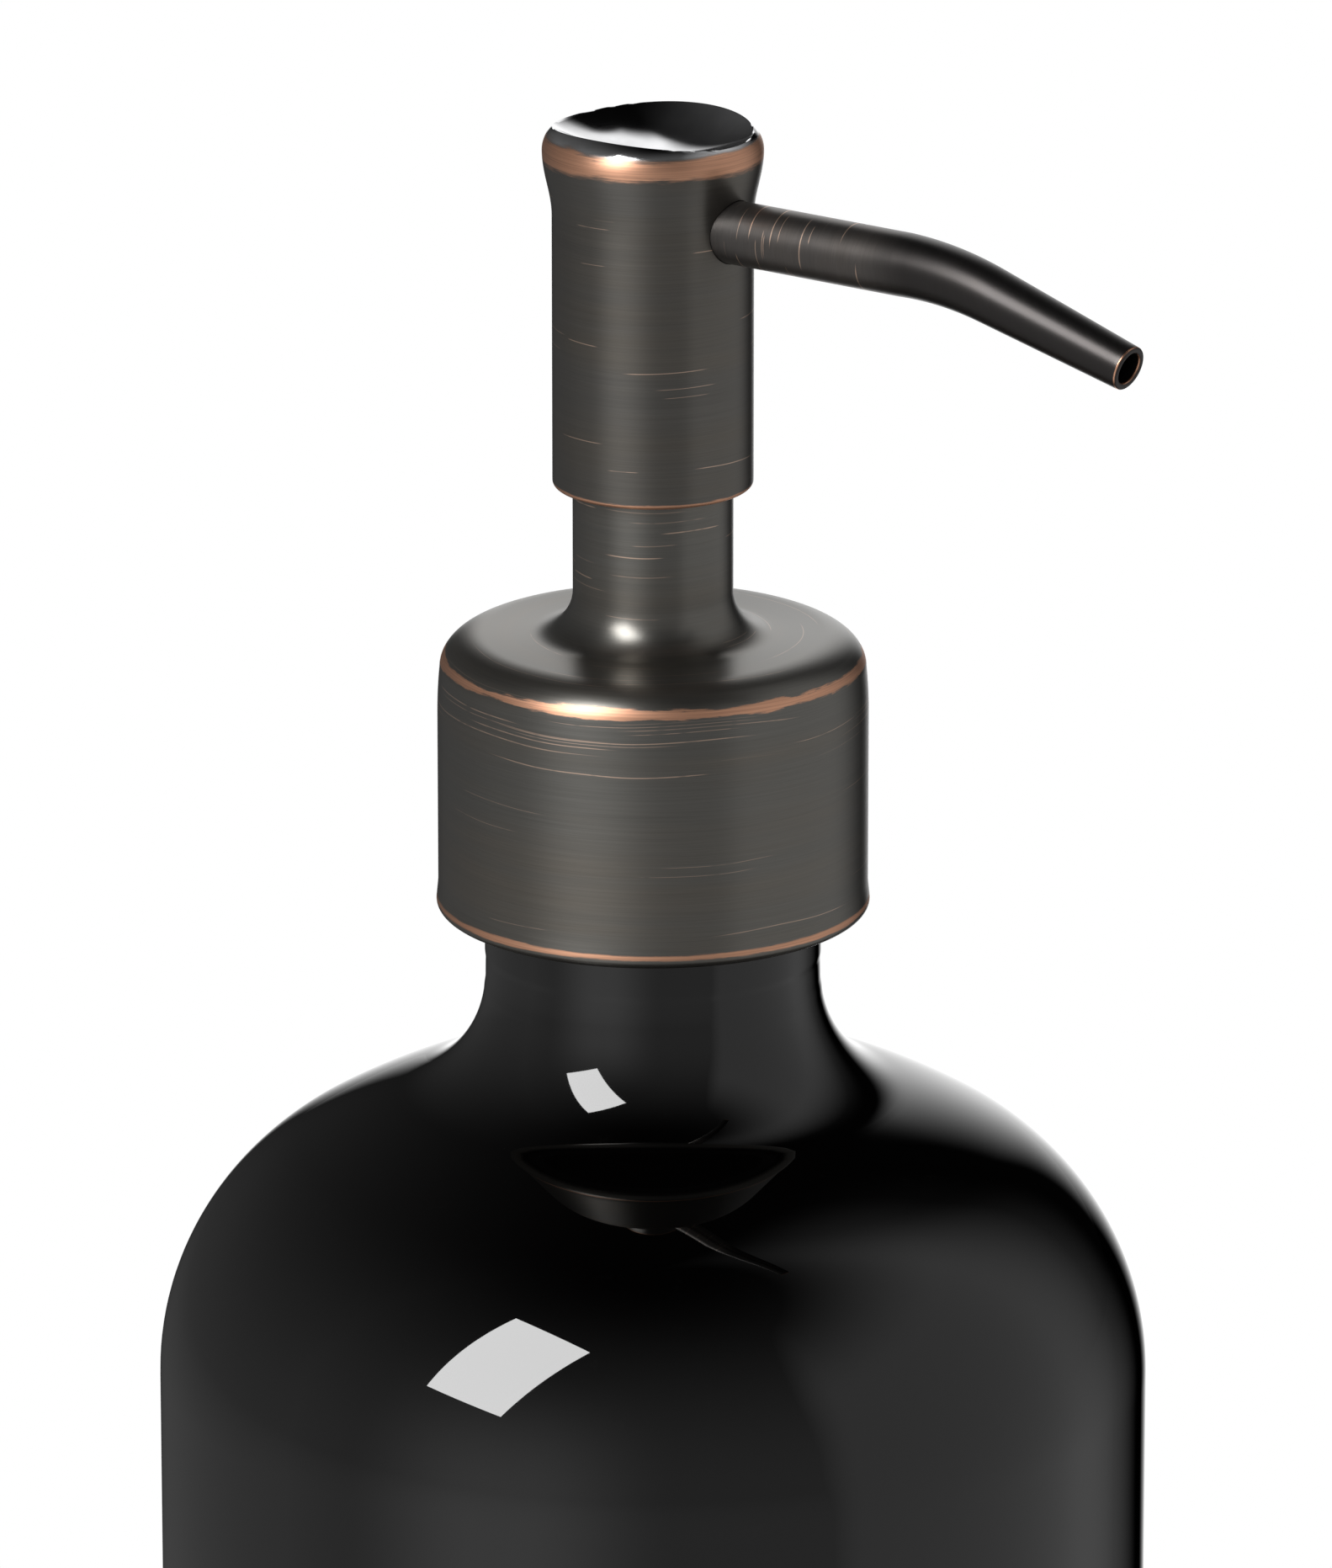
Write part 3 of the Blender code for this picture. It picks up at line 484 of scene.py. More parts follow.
def bronze(name, bands, arcs, v, origin=(0, 0, 0), turn=(0, 0, 0), bandOrigin=None, bandTurn=None):
    material, tree, shader = newTree(name)
    centre = objectPlace(tree)
    place = placed(tree, centre, origin, turn)
    bandPlace = placed(tree, centre, bandOrigin, bandTurn) if bandOrigin else place
    height = splitPlace(tree, place)["Z"]
    grain = useGroup(tree, turnedGrain, place, Fineness=v["fineness"], Arc=v["arc"])
    scratch = scratchesOn(tree, place, height, arcs, v["scratchFade"])
    worn = 0.0
    for band in bands:
        worn = larger(tree, useGroup(tree, wearBand, bandPlace, **band)["Mask"], worn)
    if v["polishFrom"] is not None:
        above = ramp(tree, height, *(v["dishFloor"] + step for step in v["dishFade"]))
        dish = times(tree, insideDish(tree, place, v), above)
        worn = times(tree, worn, minus(tree, 1.0, dish))
    # patina and its brushing
    smear = ramp(tree, grain["Smear"], *v["smear"])
    base = mixColour(tree, smear, v["patina"], v["patinaWarm"])
    base = shadeBy(tree, base, grain["Grain"], v["grainShade"])
    roughness = plus(tree, times(tree, grain["Grain"], v["grainRoughness"]),
                     v["roughness"] - v["grainRoughness"] / 2)
    relief = grain["Grain"]
    if v["grainTo"] is not None:
        end = ramp(tree, height, *(v["grainTo"] + step for step in v["endFade"]))
        base = mixColour(tree, times(tree, end, v["endShade"]), base, v["endColour"])
        roughness = minus(tree, roughness, times(tree, end, v["endGloss"]))
        relief = times(tree, relief, minus(tree, 1.0, end))
    # scratches and edges rubbed through to copper
    base = mixColour(tree, scratch, base, v["scratch"])
    base = mixColour(tree, worn, base, shadeBy(tree, v["copper"], grain["Grain"], v["copperShade"]))
    roughness = plus(tree, roughness, times(tree, worn, v["wornRoughness"] - v["roughness"]))
    relief = minus(tree, relief, times(tree, scratch, v["scratchDepth"]))
    shader.inputs["Metallic"].default_value = v["metallic"]
    if v["polishFrom"] is not None:
        # rim and thumb dish rubbed bright
        polish = ramp(tree, height, v["polishFrom"], v["polishFrom"] + v["polishFade"])
        polish = times(tree, larger(tree, polish, dish), minus(tree, 1.0, worn))
        film = noise(tree, place, v["filmScale"], 3.0, 0.5)
        base = mixColour(tree, polish, base, shadeBy(tree, v["polished"], film, v["filmShade"]))
        plain = minus(tree, 1.0, polish)
        glossy = plus(tree, v["polishedRoughness"] - v["filmRoughness"] / 2,
                      times(tree, film, v["filmRoughness"]))
        roughness = plus(tree, times(tree, roughness, plain), times(tree, glossy, polish))
        relief = times(tree, relief, plain)
        gap = times(tree, polish, 1.0 - v["metallic"])
        tree.links.new(plus(tree, gap, v["metallic"]), shader.inputs["Metallic"])
    feed(tree, shader, base, roughness)
    shader.inputs["Anisotropic"].default_value = v["anisotropy"]
    shader.inputs["Anisotropic Rotation"].default_value = v["anisotropyTurn"]
    if v["anisotropy"]:
        tangent = add(tree, "ShaderNodeTangent", direction_type="RADIAL", axis="Z")
        tree.links.new(tangent.outputs[0], shader.inputs["Tangent"])
    addBump(tree, shader, relief, v["relief"], v["reliefDepth"])
    return material


bottleValues = {
    "segments": 160,
    "wall": 0.0032,
    "baseThickness": 0.005,
    "heel": 0.005,
    "shoulderRadius": 0.0214,
    "shoulderTurn": 59,
    "crownRadius": 0.054,
    "neckFillet": 0.0096,
    "neckRadius": 0.0127,
    "neckLength": 0.01715,
    "lipRound": 0.0008,
    "neckStep": 0.00006,
    "neckStepHeight": 0.0018,
    "neckStepSoft": 0.0004,
    "threadPitch": 0.004233,
    "threadDepth": 0.00105,
    "threadTurns": 1.1,
    "threadDrop": 0.0022,
    "threadBase": 0.002,
    "threadCrest": 0.0009,
    "threadRoot": 0.0003,
    "threadSink": 0.00015,
    "threadFade": 0.12,  # part of a turn over which each end runs out
    "threadRound": 0.0003,
    "foot": ((0.0015, 0), (0.0026, 0.0003), (0.0045, 0.0007)),  # inward and up from the heel
    "pushUp": 0.0011,
}


def bottleSide(radius, lip, inset, floor):
    v = bottleValues
    reach = v["crownRadius"] - v["shoulderRadius"]
    turn = math.radians(v["shoulderTurn"])
    shoulderR = radius - v["shoulderRadius"]
    crownR = shoulderR - reach * math.cos(turn)
    filletR = v["neckRadius"] + v["neckFillet"]
    filletZ = lip - v["neckLength"]
    apart = v["crownRadius"] + v["neckFillet"]
    crownZ = filletZ - math.sqrt(apart ** 2 - (filletR - crownR) ** 2)
    shoulderZ = crownZ + reach * math.sin(turn)
    crownTurn = math.degrees(math.atan2(filletZ - crownZ, filletR - crownR))
    heel = (radius - v["heel"], floor + v["heel"] - inset)
    side = arc((filletR, filletZ), v["neckFillet"] + inset, 180, 180 + crownTurn, 20)
    if inset == 0:
        side[0] = (side[0][0] - v["neckStep"], side[0][1])
    side += arc((crownR, crownZ), v["crownRadius"] - inset, crownTurn, v["shoulderTurn"], 14)[1:]
    side += arc((shoulderR, shoulderZ), v["shoulderRadius"] - inset, v["shoulderTurn"], 0, 26)[1:]
    side += run(side[-1], (radius - inset, heel[1]), 16)
    side += arc(heel, v["heel"] - inset, 0, -90, 10)[1:]
    return side


def makeThread(lip):
    # a small section swept along the helix by the Screw modifier, its ends faded into the neck
    v = bottleValues
    start = lip - v["threadDrop"] - v["threadPitch"] * v["threadTurns"]
    root = v["neckRadius"] - v["threadRoot"]
    crest = v["neckRadius"] + v["threadDepth"]
    deselectAll()
    bpy.ops.mesh.primitive_plane_add(size=1, location=(0, 0, 0))
    rib = bpy.context.object
    rib.name = "glassThread"
    corners = [(root, -v["threadBase"] / 2), (crest, -v["threadCrest"] / 2),
               (crest, v["threadCrest"] / 2), (root, v["threadBase"] / 2)]
    for vertex, index in zip(rib.data.vertices, (0, 1, 3, 2)):
        vertex.co = (corners[index][0], 0, start + corners[index][1])
    editAll(rib)
    bpy.ops.mesh.bevel(offset=v["threadRound"], segments=3, affect="VERTICES")
    bpy.ops.object.mode_set(mode="OBJECT")
    screw = rib.modifiers.new("sweep", "SCREW")
    screw.angle = 2 * math.pi * v["threadTurns"]
    screw.screw_offset = v["threadPitch"] * v["threadTurns"]
    screw.steps = screw.render_steps = 120
    applyModifiers(rib)
    base = v["neckRadius"] - v["threadSink"]
    for vertex in rib.data.vertices:
        x, y, z = vertex.co
        radius = math.hypot(x, y)
        around = math.atan2(y, x) / (2 * math.pi)
        turn = round((z - start) / v["threadPitch"] - around) + around
        keep = min(turn, v["threadTurns"] - turn) / v["threadFade"]
        keep = max(0.0, min(1.0, keep))
        if radius > v["neckRadius"]:
            newRadius = base + (radius - base) * keep
            vertex.co = (x * newRadius / radius, y * newRadius / radius, z)
    editAll(rib)
    faceOutward()
    return rib


def makeBottle():
    v = bottleValues
    low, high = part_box("bottle")
    radius, lip = high.x, high.z
    bore = v["neckRadius"] - v["wall"]
    inner = bottleSide(radius, lip, v["wall"], v["baseThickness"])
    outer = bottleSide(radius, lip, 0, low.z)
    lipZ = lip - v["lipRound"]
    rim = arc((v["neckRadius"] - v["lipRound"], lipZ), v["lipRound"], 90, 0, 6)
    boreRim = arc((bore + v["lipRound"], lipZ), v["lipRound"], 180, 90, 6)
    step = outer[0][1] + v["neckStepHeight"]
    soft = v["neckStepSoft"]
    neck = run(rim[-1], (v["neckRadius"], step + soft), 6)
    for place in range(1, 7):
        inward = v["neckStep"] * (1 - math.cos(math.pi * place / 6)) / 2
        neck.append((v["neckRadius"] - inward, step + soft - 2 * soft * place / 6))
    floorIn = run(inner[-1], (0, v["baseThickness"]), 6)
    foot = outer[-1][0]
    under = [(foot - inward, low.z + up) for inward, up in v["foot"]]
    under += run(under[-1], (0, low.z + v["pushUp"]), 8)
    boreRun = run(inner[0], boreRim[0], 8)[:-1]
    outline = floorIn[::-1] + inner[::-1] + boreRun + boreRim + rim[1:] + neck + outer + under
    glass = turnedPiece("bottleGlass", outline, v["segments"])
    combine(glass, makeThread(lip), "UNION")
    smooth(glass, 40)
    return glass


glassValues = {
    "tint": (0.0002, 0.0002, 0.0002),
    "filmTint": (0.0006, 0.0005, 0.0005),
    "dust": (0.0018, 0.0017, 0.0016),
    "dustScale": 420.0,
    "dustSpread": (0.62, 0.85),
    "dustRoughness": 0.08,
    "filmScale": 24.0,
    "filmSpread": (0.45, 0.8),
    "filmRoughness": 0.035,
    "roughness": 0.012,
    "ior": 1.52,
    "waveScale": 60.0,
    "wave": 0.12,
    "waveDepth": 0.0001,
}


def glassMaterial():
    v = glassValues
    material, tree, shader = newTree("blackGlass")
    place = objectPlace(tree)
    dust = ramp(tree, noise(tree, place, v["dustScale"], 6.0, 0.7), *v["dustSpread"])
    film = noise(tree, place, v["filmScale"], 4.0, 0.55)
    tint = mixColour(tree, film, v["tint"], v["filmTint"])
    base = mixColour(tree, dust, tint, v["dust"])
    smudge = times(tree, ramp(tree, film, *v["filmSpread"]), v["filmRoughness"])
    roughness = plus(tree, v["roughness"], smudge)
    roughness = plus(tree, roughness, times(tree, dust, v["dustRoughness"]))
    feed(tree, shader, base, roughness)
    shader.inputs["IOR"].default_value = v["ior"]
    addBump(tree, shader, noise(tree, place, v["waveScale"], 1.0, 0.4), v["wave"], v["waveDepth"])
    return material


collarValues = {
    "segments": 128,
    "sheet": 0.0007,
    "straight": 0.0146,
    "leanHeight": 0.00346,
    "lean": 0.00018,
    "cornerWidth": 0.00338,
    "cornerHeight": 0.00258,
    "crown": 0.0001,
    "lip": 0.00014,
    "lipHeight": 0.0014,
    "hemWidth": 0.0011,
    "hemDrop": 0.0008,
    "sleeveFillet": 0.00325,
    "sleeveRadius": 0.006,
    "edgeRound": 0.00012,
    "edgeAngle": 50,
}


def makeCollar():
    v = collarValues
    low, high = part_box("collar_shell")
    radius = high.x - v["lip"]
    ridge = radius - v["lean"]
    cornerZ = low.z + v["straight"] + v["leanHeight"]
    topZ = cornerZ + v["cornerHeight"] + v["crown"]
    sleeve = v["sleeveRadius"]
    outline = [(sleeve, high.z)]
    outline += run(outline[-1], (sleeve, topZ + v["sleeveFillet"]), 10)
    fillet = (sleeve + v["sleeveFillet"], topZ + v["sleeveFillet"])
    outline += arc(fillet, v["sleeveFillet"], 180, 270, 16)[1:]
    corner, cornerR = (v["cornerWidth"], v["cornerHeight"]), ridge - v["cornerWidth"]
    outline += run(outline[-1], (cornerR, cornerZ + v["cornerHeight"]), 4)
    outline += arc((cornerR, cornerZ), corner, 90, 0, 18)[1:]
    for step in range(1, 9):
        share = step / 8
        leant = radius - v["lean"] * (1 - share) ** 2
        outline.append((leant, cornerZ - v["leanHeight"] * share))
    outline += run(outline[-1], (radius, low.z + v["lipHeight"]), 14)
    outline += run(outline[-1], (high.x, low.z), 5)
    hem = (v["hemWidth"], v["hemDrop"])
    outline += arc((high.x - v["hemWidth"], low.z), hem, 0, -80, 8)[1:]
    shell = turnedPiece("collarShell", outline, v["segments"])
    wall = shell.modifiers.new("sheet", "SOLIDIFY")
    wall.thickness = v["sheet"]
    wall.offset = -1
    wall.use_even_offset = True
    rounded = shell.modifiers.new("edges", "BEVEL")
    rounded.width = v["edgeRound"]
    rounded.segments = 2
    rounded.limit_method = "ANGLE"
    rounded.angle_limit = math.radians(v["edgeAngle"])
    applyModifiers(shell)
    smooth(shell, 45)
    return shell


headValues = {
    "segments": 192,
    "bore": 0.00675,
    "wall": 0.00075,
    "edge": 0.0004,
    "flare": 0.00072,
    "flareLength": 0.005,
    "rimRaise": 0.0004,
    "rimHeight": 0.0028,
    "rimInset": 0.004,
    "roof": 0.00125,
    "scoopLength": 0.0179,
    "scoopWidth": 0.0109,
    "rimSoftness": 0.00012,
    "rimTop": 0.00205,  # down from the highest point
    "crownTurn": 40,
    "fineTo": 0.0066,  # the scoop's faces are finest outside this radius
    "scoopDepth": 0.012,
    "holeGap": 0.00005,
}


def softLower(a, b, softness):
    # the lower of two heights, with the crease between them rounded
    share = max(0.0, softness - abs(a - b)) / softness
    return min(a, b) - softness * share ** 3 / 6


def makeHead(spoutZ, spoutRadius):
    v = headValues
    low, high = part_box("head_shell")
    barrel = v["bore"] + v["wall"]
    widest = barrel + v["flare"]
    rimZ = high.z - v["rimTop"]
    scoopZ = rimZ - v["rimRaise"]
    outline = [(0, scoopZ - v["roof"])]
    outline += run(outline[-1], (v["bore"], scoopZ - v["roof"]), 4)
    outline += run(outline[-1], (v["bore"], low.z + v["edge"] / 2), 12)
    half = v["edge"] / 2
    outline += arc((v["bore"] + half, low.z + half), half, 180, 270, 3)[1:]
    outline += arc((barrel - v["edge"], low.z + v["edge"]), v["edge"], -90, 0, 6)
    flareZ = rimZ - v["flareLength"]
    outline += run(outline[-1], (barrel, flareZ), 44)
    for step in range(1, 25):
        share = step / 24
        swell = (1 - math.cos(math.pi * share)) / 2
        outline.append((barrel + v["flare"] * swell, flareZ + v["flareLength"] * share))
    crown = []
    for step in range(1, 13):
        turn = math.radians(v["crownTurn"] * step / 12)
        inward = v["rimInset"] * (1 - math.cos(turn))
        crown.append((widest - inward, rimZ + v["rimHeight"] * math.sin(turn)))
    outline += crown
    edgeR = crown[-1][0]
    for step in range(1, 46):
        outline.append((edgeR - (edgeR - v["fineTo"]) * step / 45, rimZ + v["rimHeight"]))
    outline += run(outline[-1], (0, rimZ + v["rimHeight"]), 30)
    head = turnedPiece("pumpHead", outline, v["segments"])
    startR = widest - v["rimInset"]
    for vertex in head.data.vertices:
        x, y, z = vertex.co
        radius = math.hypot(x, y)
        if z < rimZ + 1e-7:
            continue
        inset = max(0.0, radius - startR) / v["rimInset"]
        crownZ = rimZ + v["rimHeight"] * math.sqrt(max(0.0, 1 - inset ** 2))
        bowl = scoopZ + scoopRise(x, y)
        vertex.co.z = softLower(crownZ, bowl, v["rimSoftness"])
    deselectAll()
    # the hole that takes the spout
    bpy.ops.mesh.primitive_cylinder_add(vertices=96, radius=spoutRadius, depth=widest,
                                        location=(widest, 0, spoutZ), rotation=(0, math.pi / 2, 0))
    combine(head, bpy.context.object, "DIFFERENCE")
    smooth(head, 40)
    return head


def scoopRise(x, y):
    # height of the oval bowl above its lowest point
    v = headValues
    depth = v["scoopDepth"]
    lengthAxis = math.sqrt(v["scoopLength"] * depth)
    widthAxis = math.sqrt(v["scoopWidth"] * depth)
    inside = 1 - (x / lengthAxis) ** 2 - (y / widthAxis) ** 2
    return depth * (1 - math.sqrt(max(0.0, inside)))


spoutValues = {
    "segments": 72,
    "rootRadius": 0.00237,
    "tipRadius": 0.0017,
    "wall": 0.0006,
    "tipWall": 0.0005,
    "insert": 0.0025,
    "straight": 0.0232,
    "bendRadius": 0.0279,
    "bend": 15.9,
    "down": 0.0129,
    "lip": 0.0002,
}


def spoutRings(spoutZ):
    # centre, tilt in degrees and outer radius of each ring from root to tip
    v = spoutValues
    bendRun = v["bendRadius"] * math.radians(v["bend"])
    length = bendRun + v["down"]
    rings = []
    for step in range(41):
        along = v["insert"] + (v["straight"] - v["insert"]) * step / 40
        rings.append((Vector((along, 0, spoutZ)), 0.0, 0.0))
    pivot = Vector((v["straight"], 0, spoutZ - v["bendRadius"]))
    for step in range(1, 25):
        tilt = v["bend"] * step / 24
        turn = math.radians(tilt)
        point = pivot + v["bendRadius"] * Vector((math.sin(turn), 0, math.cos(turn)))
        rings.append((point, tilt, bendRun * step / 24 / length))
    turn = math.radians(v["bend"])
    way = Vector((math.cos(turn), 0, -math.sin(turn)))
    last = rings[-1][0]
    for step in range(1, 25):
        along = v["down"] * step / 24
        rings.append((last + way * along, v["bend"], (bendRun + along) / length))
    drop = v["rootRadius"] - v["tipRadius"]
    return [(point, tilt, v["rootRadius"] - drop * share) for point, tilt, share in rings]


def makeSpout(spoutZ):
    v = spoutValues
    rings = spoutRings(spoutZ)
    bend = math.radians(v["bend"])
    way = Vector((math.cos(bend), 0, -math.sin(bend)))
    tip, tilt, tipR = rings[-1]
    bore = tipR - v["tipWall"]
    outerLip, innerLip = [], []
    for step in range(5):
        turn = math.radians(90 * step / 4)
        rise, fall = v["lip"] * (1 - math.sin(turn)), v["lip"] * (1 - math.cos(turn))
        outerLip.append((tip - way * rise, tilt, tipR - fall))
        innerLip.append((tip - way * fall, tilt, bore + rise))
    rings[-1] = outerLip[0]
    inner = []
    for point, tiltIn, radius in reversed(rings[:-1]):
        share = (v["rootRadius"] - radius) / (v["rootRadius"] - v["tipRadius"])
        wall = v["wall"] + (v["tipWall"] - v["wall"]) * share
        inner.append((point, tiltIn, radius - wall))
    route = rings + outerLip[1:] + innerLip + inner[1:]
    deselectAll()
    bpy.ops.mesh.primitive_circle_add(vertices=v["segments"], radius=1, location=(0, 0, 0))
    spout = bpy.context.object
    spout.name = "spoutTube"
    editAll(spout)
    for place in route[1:]:
        bpy.ops.mesh.extrude_region_move(TRANSFORM_OT_translate={"value": (0, 0, 1)})
    bpy.ops.object.mode_set(mode="OBJECT")
    for vertex in spout.data.vertices:
        point, tiltHere, radius = route[min(len(route) - 1, round(vertex.co.z))]
        turn = math.radians(tiltHere)
        across, side = vertex.co.x, vertex.co.y
        offset = Vector((across * math.sin(turn), side, across * math.cos(turn)))
        vertex.co = point + radius * offset
    editAll(spout)
    bpy.ops.mesh.select_all(action="DESELECT")
    bpy.ops.mesh.select_non_manifold()
    bpy.ops.mesh.bridge_edge_loops()
    faceOutward()
    smooth(spout, 45)
    return spout


def band(height, width, ragged, softness, arcScale=420.0):
    return dict(Height=height, Width=width, Ragged=ragged, Softness=softness, Arc=arcScale)


def arcSet(low, high, strength, spacing, seed, thickness, length, share):
    settings = dict(Spacing=spacing, Seed=seed, Thickness=thickness, Length=length, Share=share)
    return low, high, strength, settings


collarLow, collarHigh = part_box("collar_shell")
headLow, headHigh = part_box("head_shell")
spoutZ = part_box("spout_tube")[1].z - spoutValues["rootRadius"]
spoutTip = spoutRings(spoutZ)[-1][0]
ridge = collarLow.z + collarValues["straight"] + collarValues["leanHeight"]
hem, sleeveTop = collarLow.z, collarHigh.z
skirt, crown = headLow.z, headHigh.z

# bands: height, width, raggedness, softness
# arcs: lowest, highest, strength, spacing, seed, thickness, length, share of rows
collarFinish = {
    "values": bronzeValues,
    "bands": [
        band(ridge + 0.0008, 0.0003, 0.00075, 0.00007),
        band(hem + 0.00022, 0.0002, 0.0003, 0.00007),
    ],
    "arcs": [
        arcSet(ridge - 0.0052, ridge - 0.0002, 0.65, 0.0005, 3.0, 0.00006, 1.1, 0.9),
        arcSet(ridge - 0.0036, ridge + 0.0002, 0.65, 0.0004, 40.0, 0.00006, 0.8, 0.9),
        arcSet(ridge - 0.0026, ridge + 0.0002, 0.5, 0.0003, 140.0, 0.00004, 0.7, 0.9),
        arcSet(hem + 0.001, ridge - 0.003, 0.45, 0.0011, 11.0, 0.00005, 0.7, 0.6),
        arcSet(hem + 0.001, ridge - 0.003, 0.3, 0.0008, 211.0, 0.00004, 0.4, 0.6),
        arcSet(ridge + 0.0012, sleeveTop, 0.3, 0.0006, 23.0, 0.00005, 0.7, 0.7),
        arcSet(ridge + 0.006, sleeveTop, 0.7, 0.0011, 57.0, 0.00006, 0.5, 0.8),
    ],
}

headFinish = {
    "values": dict(
        bronzeValues, patina=(0.116, 0.111, 0.103), patinaWarm=(0.126, 0.115, 0.1),
        polishFrom=crown - 0.0011,
        dishFloor=crown - headValues["rimTop"] - headValues["rimRaise"],
    ),
    "bands": [
        band(crown - 0.0017, 0.0008, 0.0011, 0.00026),
        band(skirt + 0.00012, 0.00026, 0.0003, 0.00006),
    ],
    "arcs": [
        arcSet(skirt + 0.002, crown - 0.004, 0.65, 0.0011, 5.0, 0.00005, 0.55, 0.7),
        arcSet(skirt + 0.002, crown - 0.004, 0.5, 0.0011, 71.0, 0.00004, 0.4, 0.6),
        arcSet(skirt + 0.004, crown - 0.006, 0.4, 0.0009, 33.0, 0.00004, 0.3, 0.6),
    ],
}

# the spout's grain runs round its own length, so its heights are distances from the pump's axis
spoutFinish = {
    "values": dict(
        bronzeValues, patina=(0.11, 0.102, 0.097), patinaWarm=(0.116, 0.104, 0.096),
        roughness=0.38, wornRoughness=0.3, anisotropy=0.0, arc=240.0, fineness=7000.0,
        grainTo=0.024,
    ),
    "bands": [band(-0.00015, 0.00006, 0.0001, 0.00004, 400.0)],
    "arcs": [
        arcSet(0.0085, 0.021, 0.8, 0.001, 9.0, 0.00006, 1.3, 0.9),
        arcSet(0.0085, 0.0165, 0.7, 0.0007, 50.0, 0.00004, 0.8, 0.8),
        arcSet(0.0085, 0.0165, 0.7, 0.0009, 90.0, 0.00004, 0.8, 0.8),
    ],
    "origin": (0, 0, spoutZ),
    "turn": (0, math.pi / 2, 0),
    "bandOrigin": tuple(spoutTip),
    "bandTurn": (0, math.pi / 2 + math.radians(spoutValues["bend"]), 0),
}


def bronzeFrom(name, v):
    places = {key: v[key] for key in ("origin", "turn", "bandOrigin", "bandTurn") if key in v}
    return bronze(name, v["bands"], v["arcs"], v["values"], **places)


spoutHole = spoutValues["rootRadius"] + headValues["holeGap"]
collarBronze = bronzeFrom("collarBronze", collarFinish)
headBronze = bronzeFrom("headBronze", headFinish)
spoutBronze = bronzeFrom("spoutBronze", spoutFinish)
install(makeBottle(), "bottle", "black_glass", glassMaterial(), "bottle")
install(makeCollar(), "collar", "collar_bronze", collarBronze, "collar_shell")
install(makeHead(spoutZ, spoutHole), "head", "head_bronze", headBronze, "head_shell")
install(makeSpout(spoutZ), "head", "spout_bronze", spoutBronze, "spout_tube")


plasticValues = {
    "closure": dict(base=(0.028, 0.028, 0.029), shade=(0.8, 1.3),
                    roughness=0.42, mottle=150.0, relief=0.3),
    "natural": dict(base=(0.78, 0.78, 0.75), shade=(0.95, 1.04),
                    roughness=0.36, mottle=120.0, relief=0.15),
    "seal": dict(base=(0.68, 0.74, 0.8), shade=(0.93, 1.05),
                 roughness=0.48, mottle=260.0, relief=0.25),
    "skinRoughness": 0.12,
    "reliefDepth": 0.00003,
}


def plastic(name, kind):
    v = plasticValues[kind]
    uneven = plasticValues["skinRoughness"]
    material, tree, shader = newTree(name)
    skin = useGroup(tree, mouldSkin, objectPlace(tree), Mottle=v["mottle"])
    base = shadeBy(tree, v["base"], skin["Shade"], v["shade"])
    roughness = plus(tree, v["roughness"] - uneven / 2, times(tree, skin["Shade"], uneven))
    feed(tree, shader, base, roughness)
    addBump(tree, shader, skin["Relief"], v["relief"], plasticValues["reliefDepth"])
    return material


foamValues = {
    "hollow": (0.62, 0.62, 0.6),
    "wall": (0.8, 0.8, 0.78),
    "cellScale": 3800.0,
    "wallEdges": (0.16, 0.02),
    "mottle": 300.0,
    "shade": (0.94, 1.05),
    "roughness": 0.9,
    "wallGloss": 0.15,
    "relief": 0.6,
    "reliefDepth": 0.00008,
}


def foam(name):
    # closed cells with thin pale walls
    v = foamValues
    material, tree, shader = newTree(name)
    place = objectPlace(tree)
    cells = add(tree, "ShaderNodeTexVoronoi", feature="DISTANCE_TO_EDGE")
    cells.inputs["Scale"].default_value = v["cellScale"]
    tree.links.new(place, cells.inputs["Vector"])
    wall = ramp(tree, cells.outputs["Distance"], *v["wallEdges"])
    skin = useGroup(tree, mouldSkin, place, Mottle=v["mottle"])
    base = mixColour(tree, wall, v["hollow"], v["wall"])
    base = shadeBy(tree, base, skin["Shade"], v["shade"])
    feed(tree, shader, base, minus(tree, v["roughness"], times(tree, wall, v["wallGloss"])))
    addBump(tree, shader, wall, v["relief"], v["reliefDepth"])
    return material


steelValues = {
    "drawn": dict(roughness=0.2, fineness=9000.0, relief=0.2),
    "polished": dict(roughness=0.04, fineness=12000.0, relief=0.03),
    "colour": (0.62, 0.62, 0.64),
    "filmScale": 500.0,
    "filmShade": (0.88, 1.08),
    "filmRoughness": 0.1,
    "lineShade": (0.93, 1.06),
    "arc": 90.0,
    "reliefDepth": 0.00001,
}


def steel(name, kind):
    # drawing lines and a faint darker film
    v = steelValues
    material, tree, shader = newTree(name)
    place = objectPlace(tree)
    grain = useGroup(tree, turnedGrain, place, Fineness=v[kind]["fineness"], Arc=v["arc"])
    film = noise(tree, place, v["filmScale"], 4.0, 0.6)
    base = shadeBy(tree, v["colour"], film, v["filmShade"])
    base = shadeBy(tree, base, grain["Grain"], v["lineShade"])
    roughness = plus(tree, v[kind]["roughness"], times(tree, film, v["filmRoughness"]))
    feed(tree, shader, base, roughness)
    shader.inputs["Metallic"].default_value = 1.0
    addBump(tree, shader, grain["Grain"], v[kind]["relief"], v["reliefDepth"])
    return material


def refined(name, node, rounding):
    # a merged copy of the frame's piece, its sharp edges eased by `rounding`
    piece = bpy.data.objects.new(name, nodes[node].data.copy())
    bpy.context.scene.collection.objects.link(piece)
    editAll(piece)
    bpy.ops.mesh.remove_doubles(threshold=1e-6)
    if rounding:
        bpy.ops.mesh.dissolve_limited(angle_limit=math.radians(1))
    bpy.ops.object.mode_set(mode="OBJECT")
    if rounding:
        edges = piece.modifiers.new("edges", "BEVEL")
        edges.width = rounding
        edges.segments = 2
        edges.limit_method = "ANGLE"
        edges.angle_limit = math.radians(40)
        applyModifiers(piece)
    smooth(piece)
    return piece


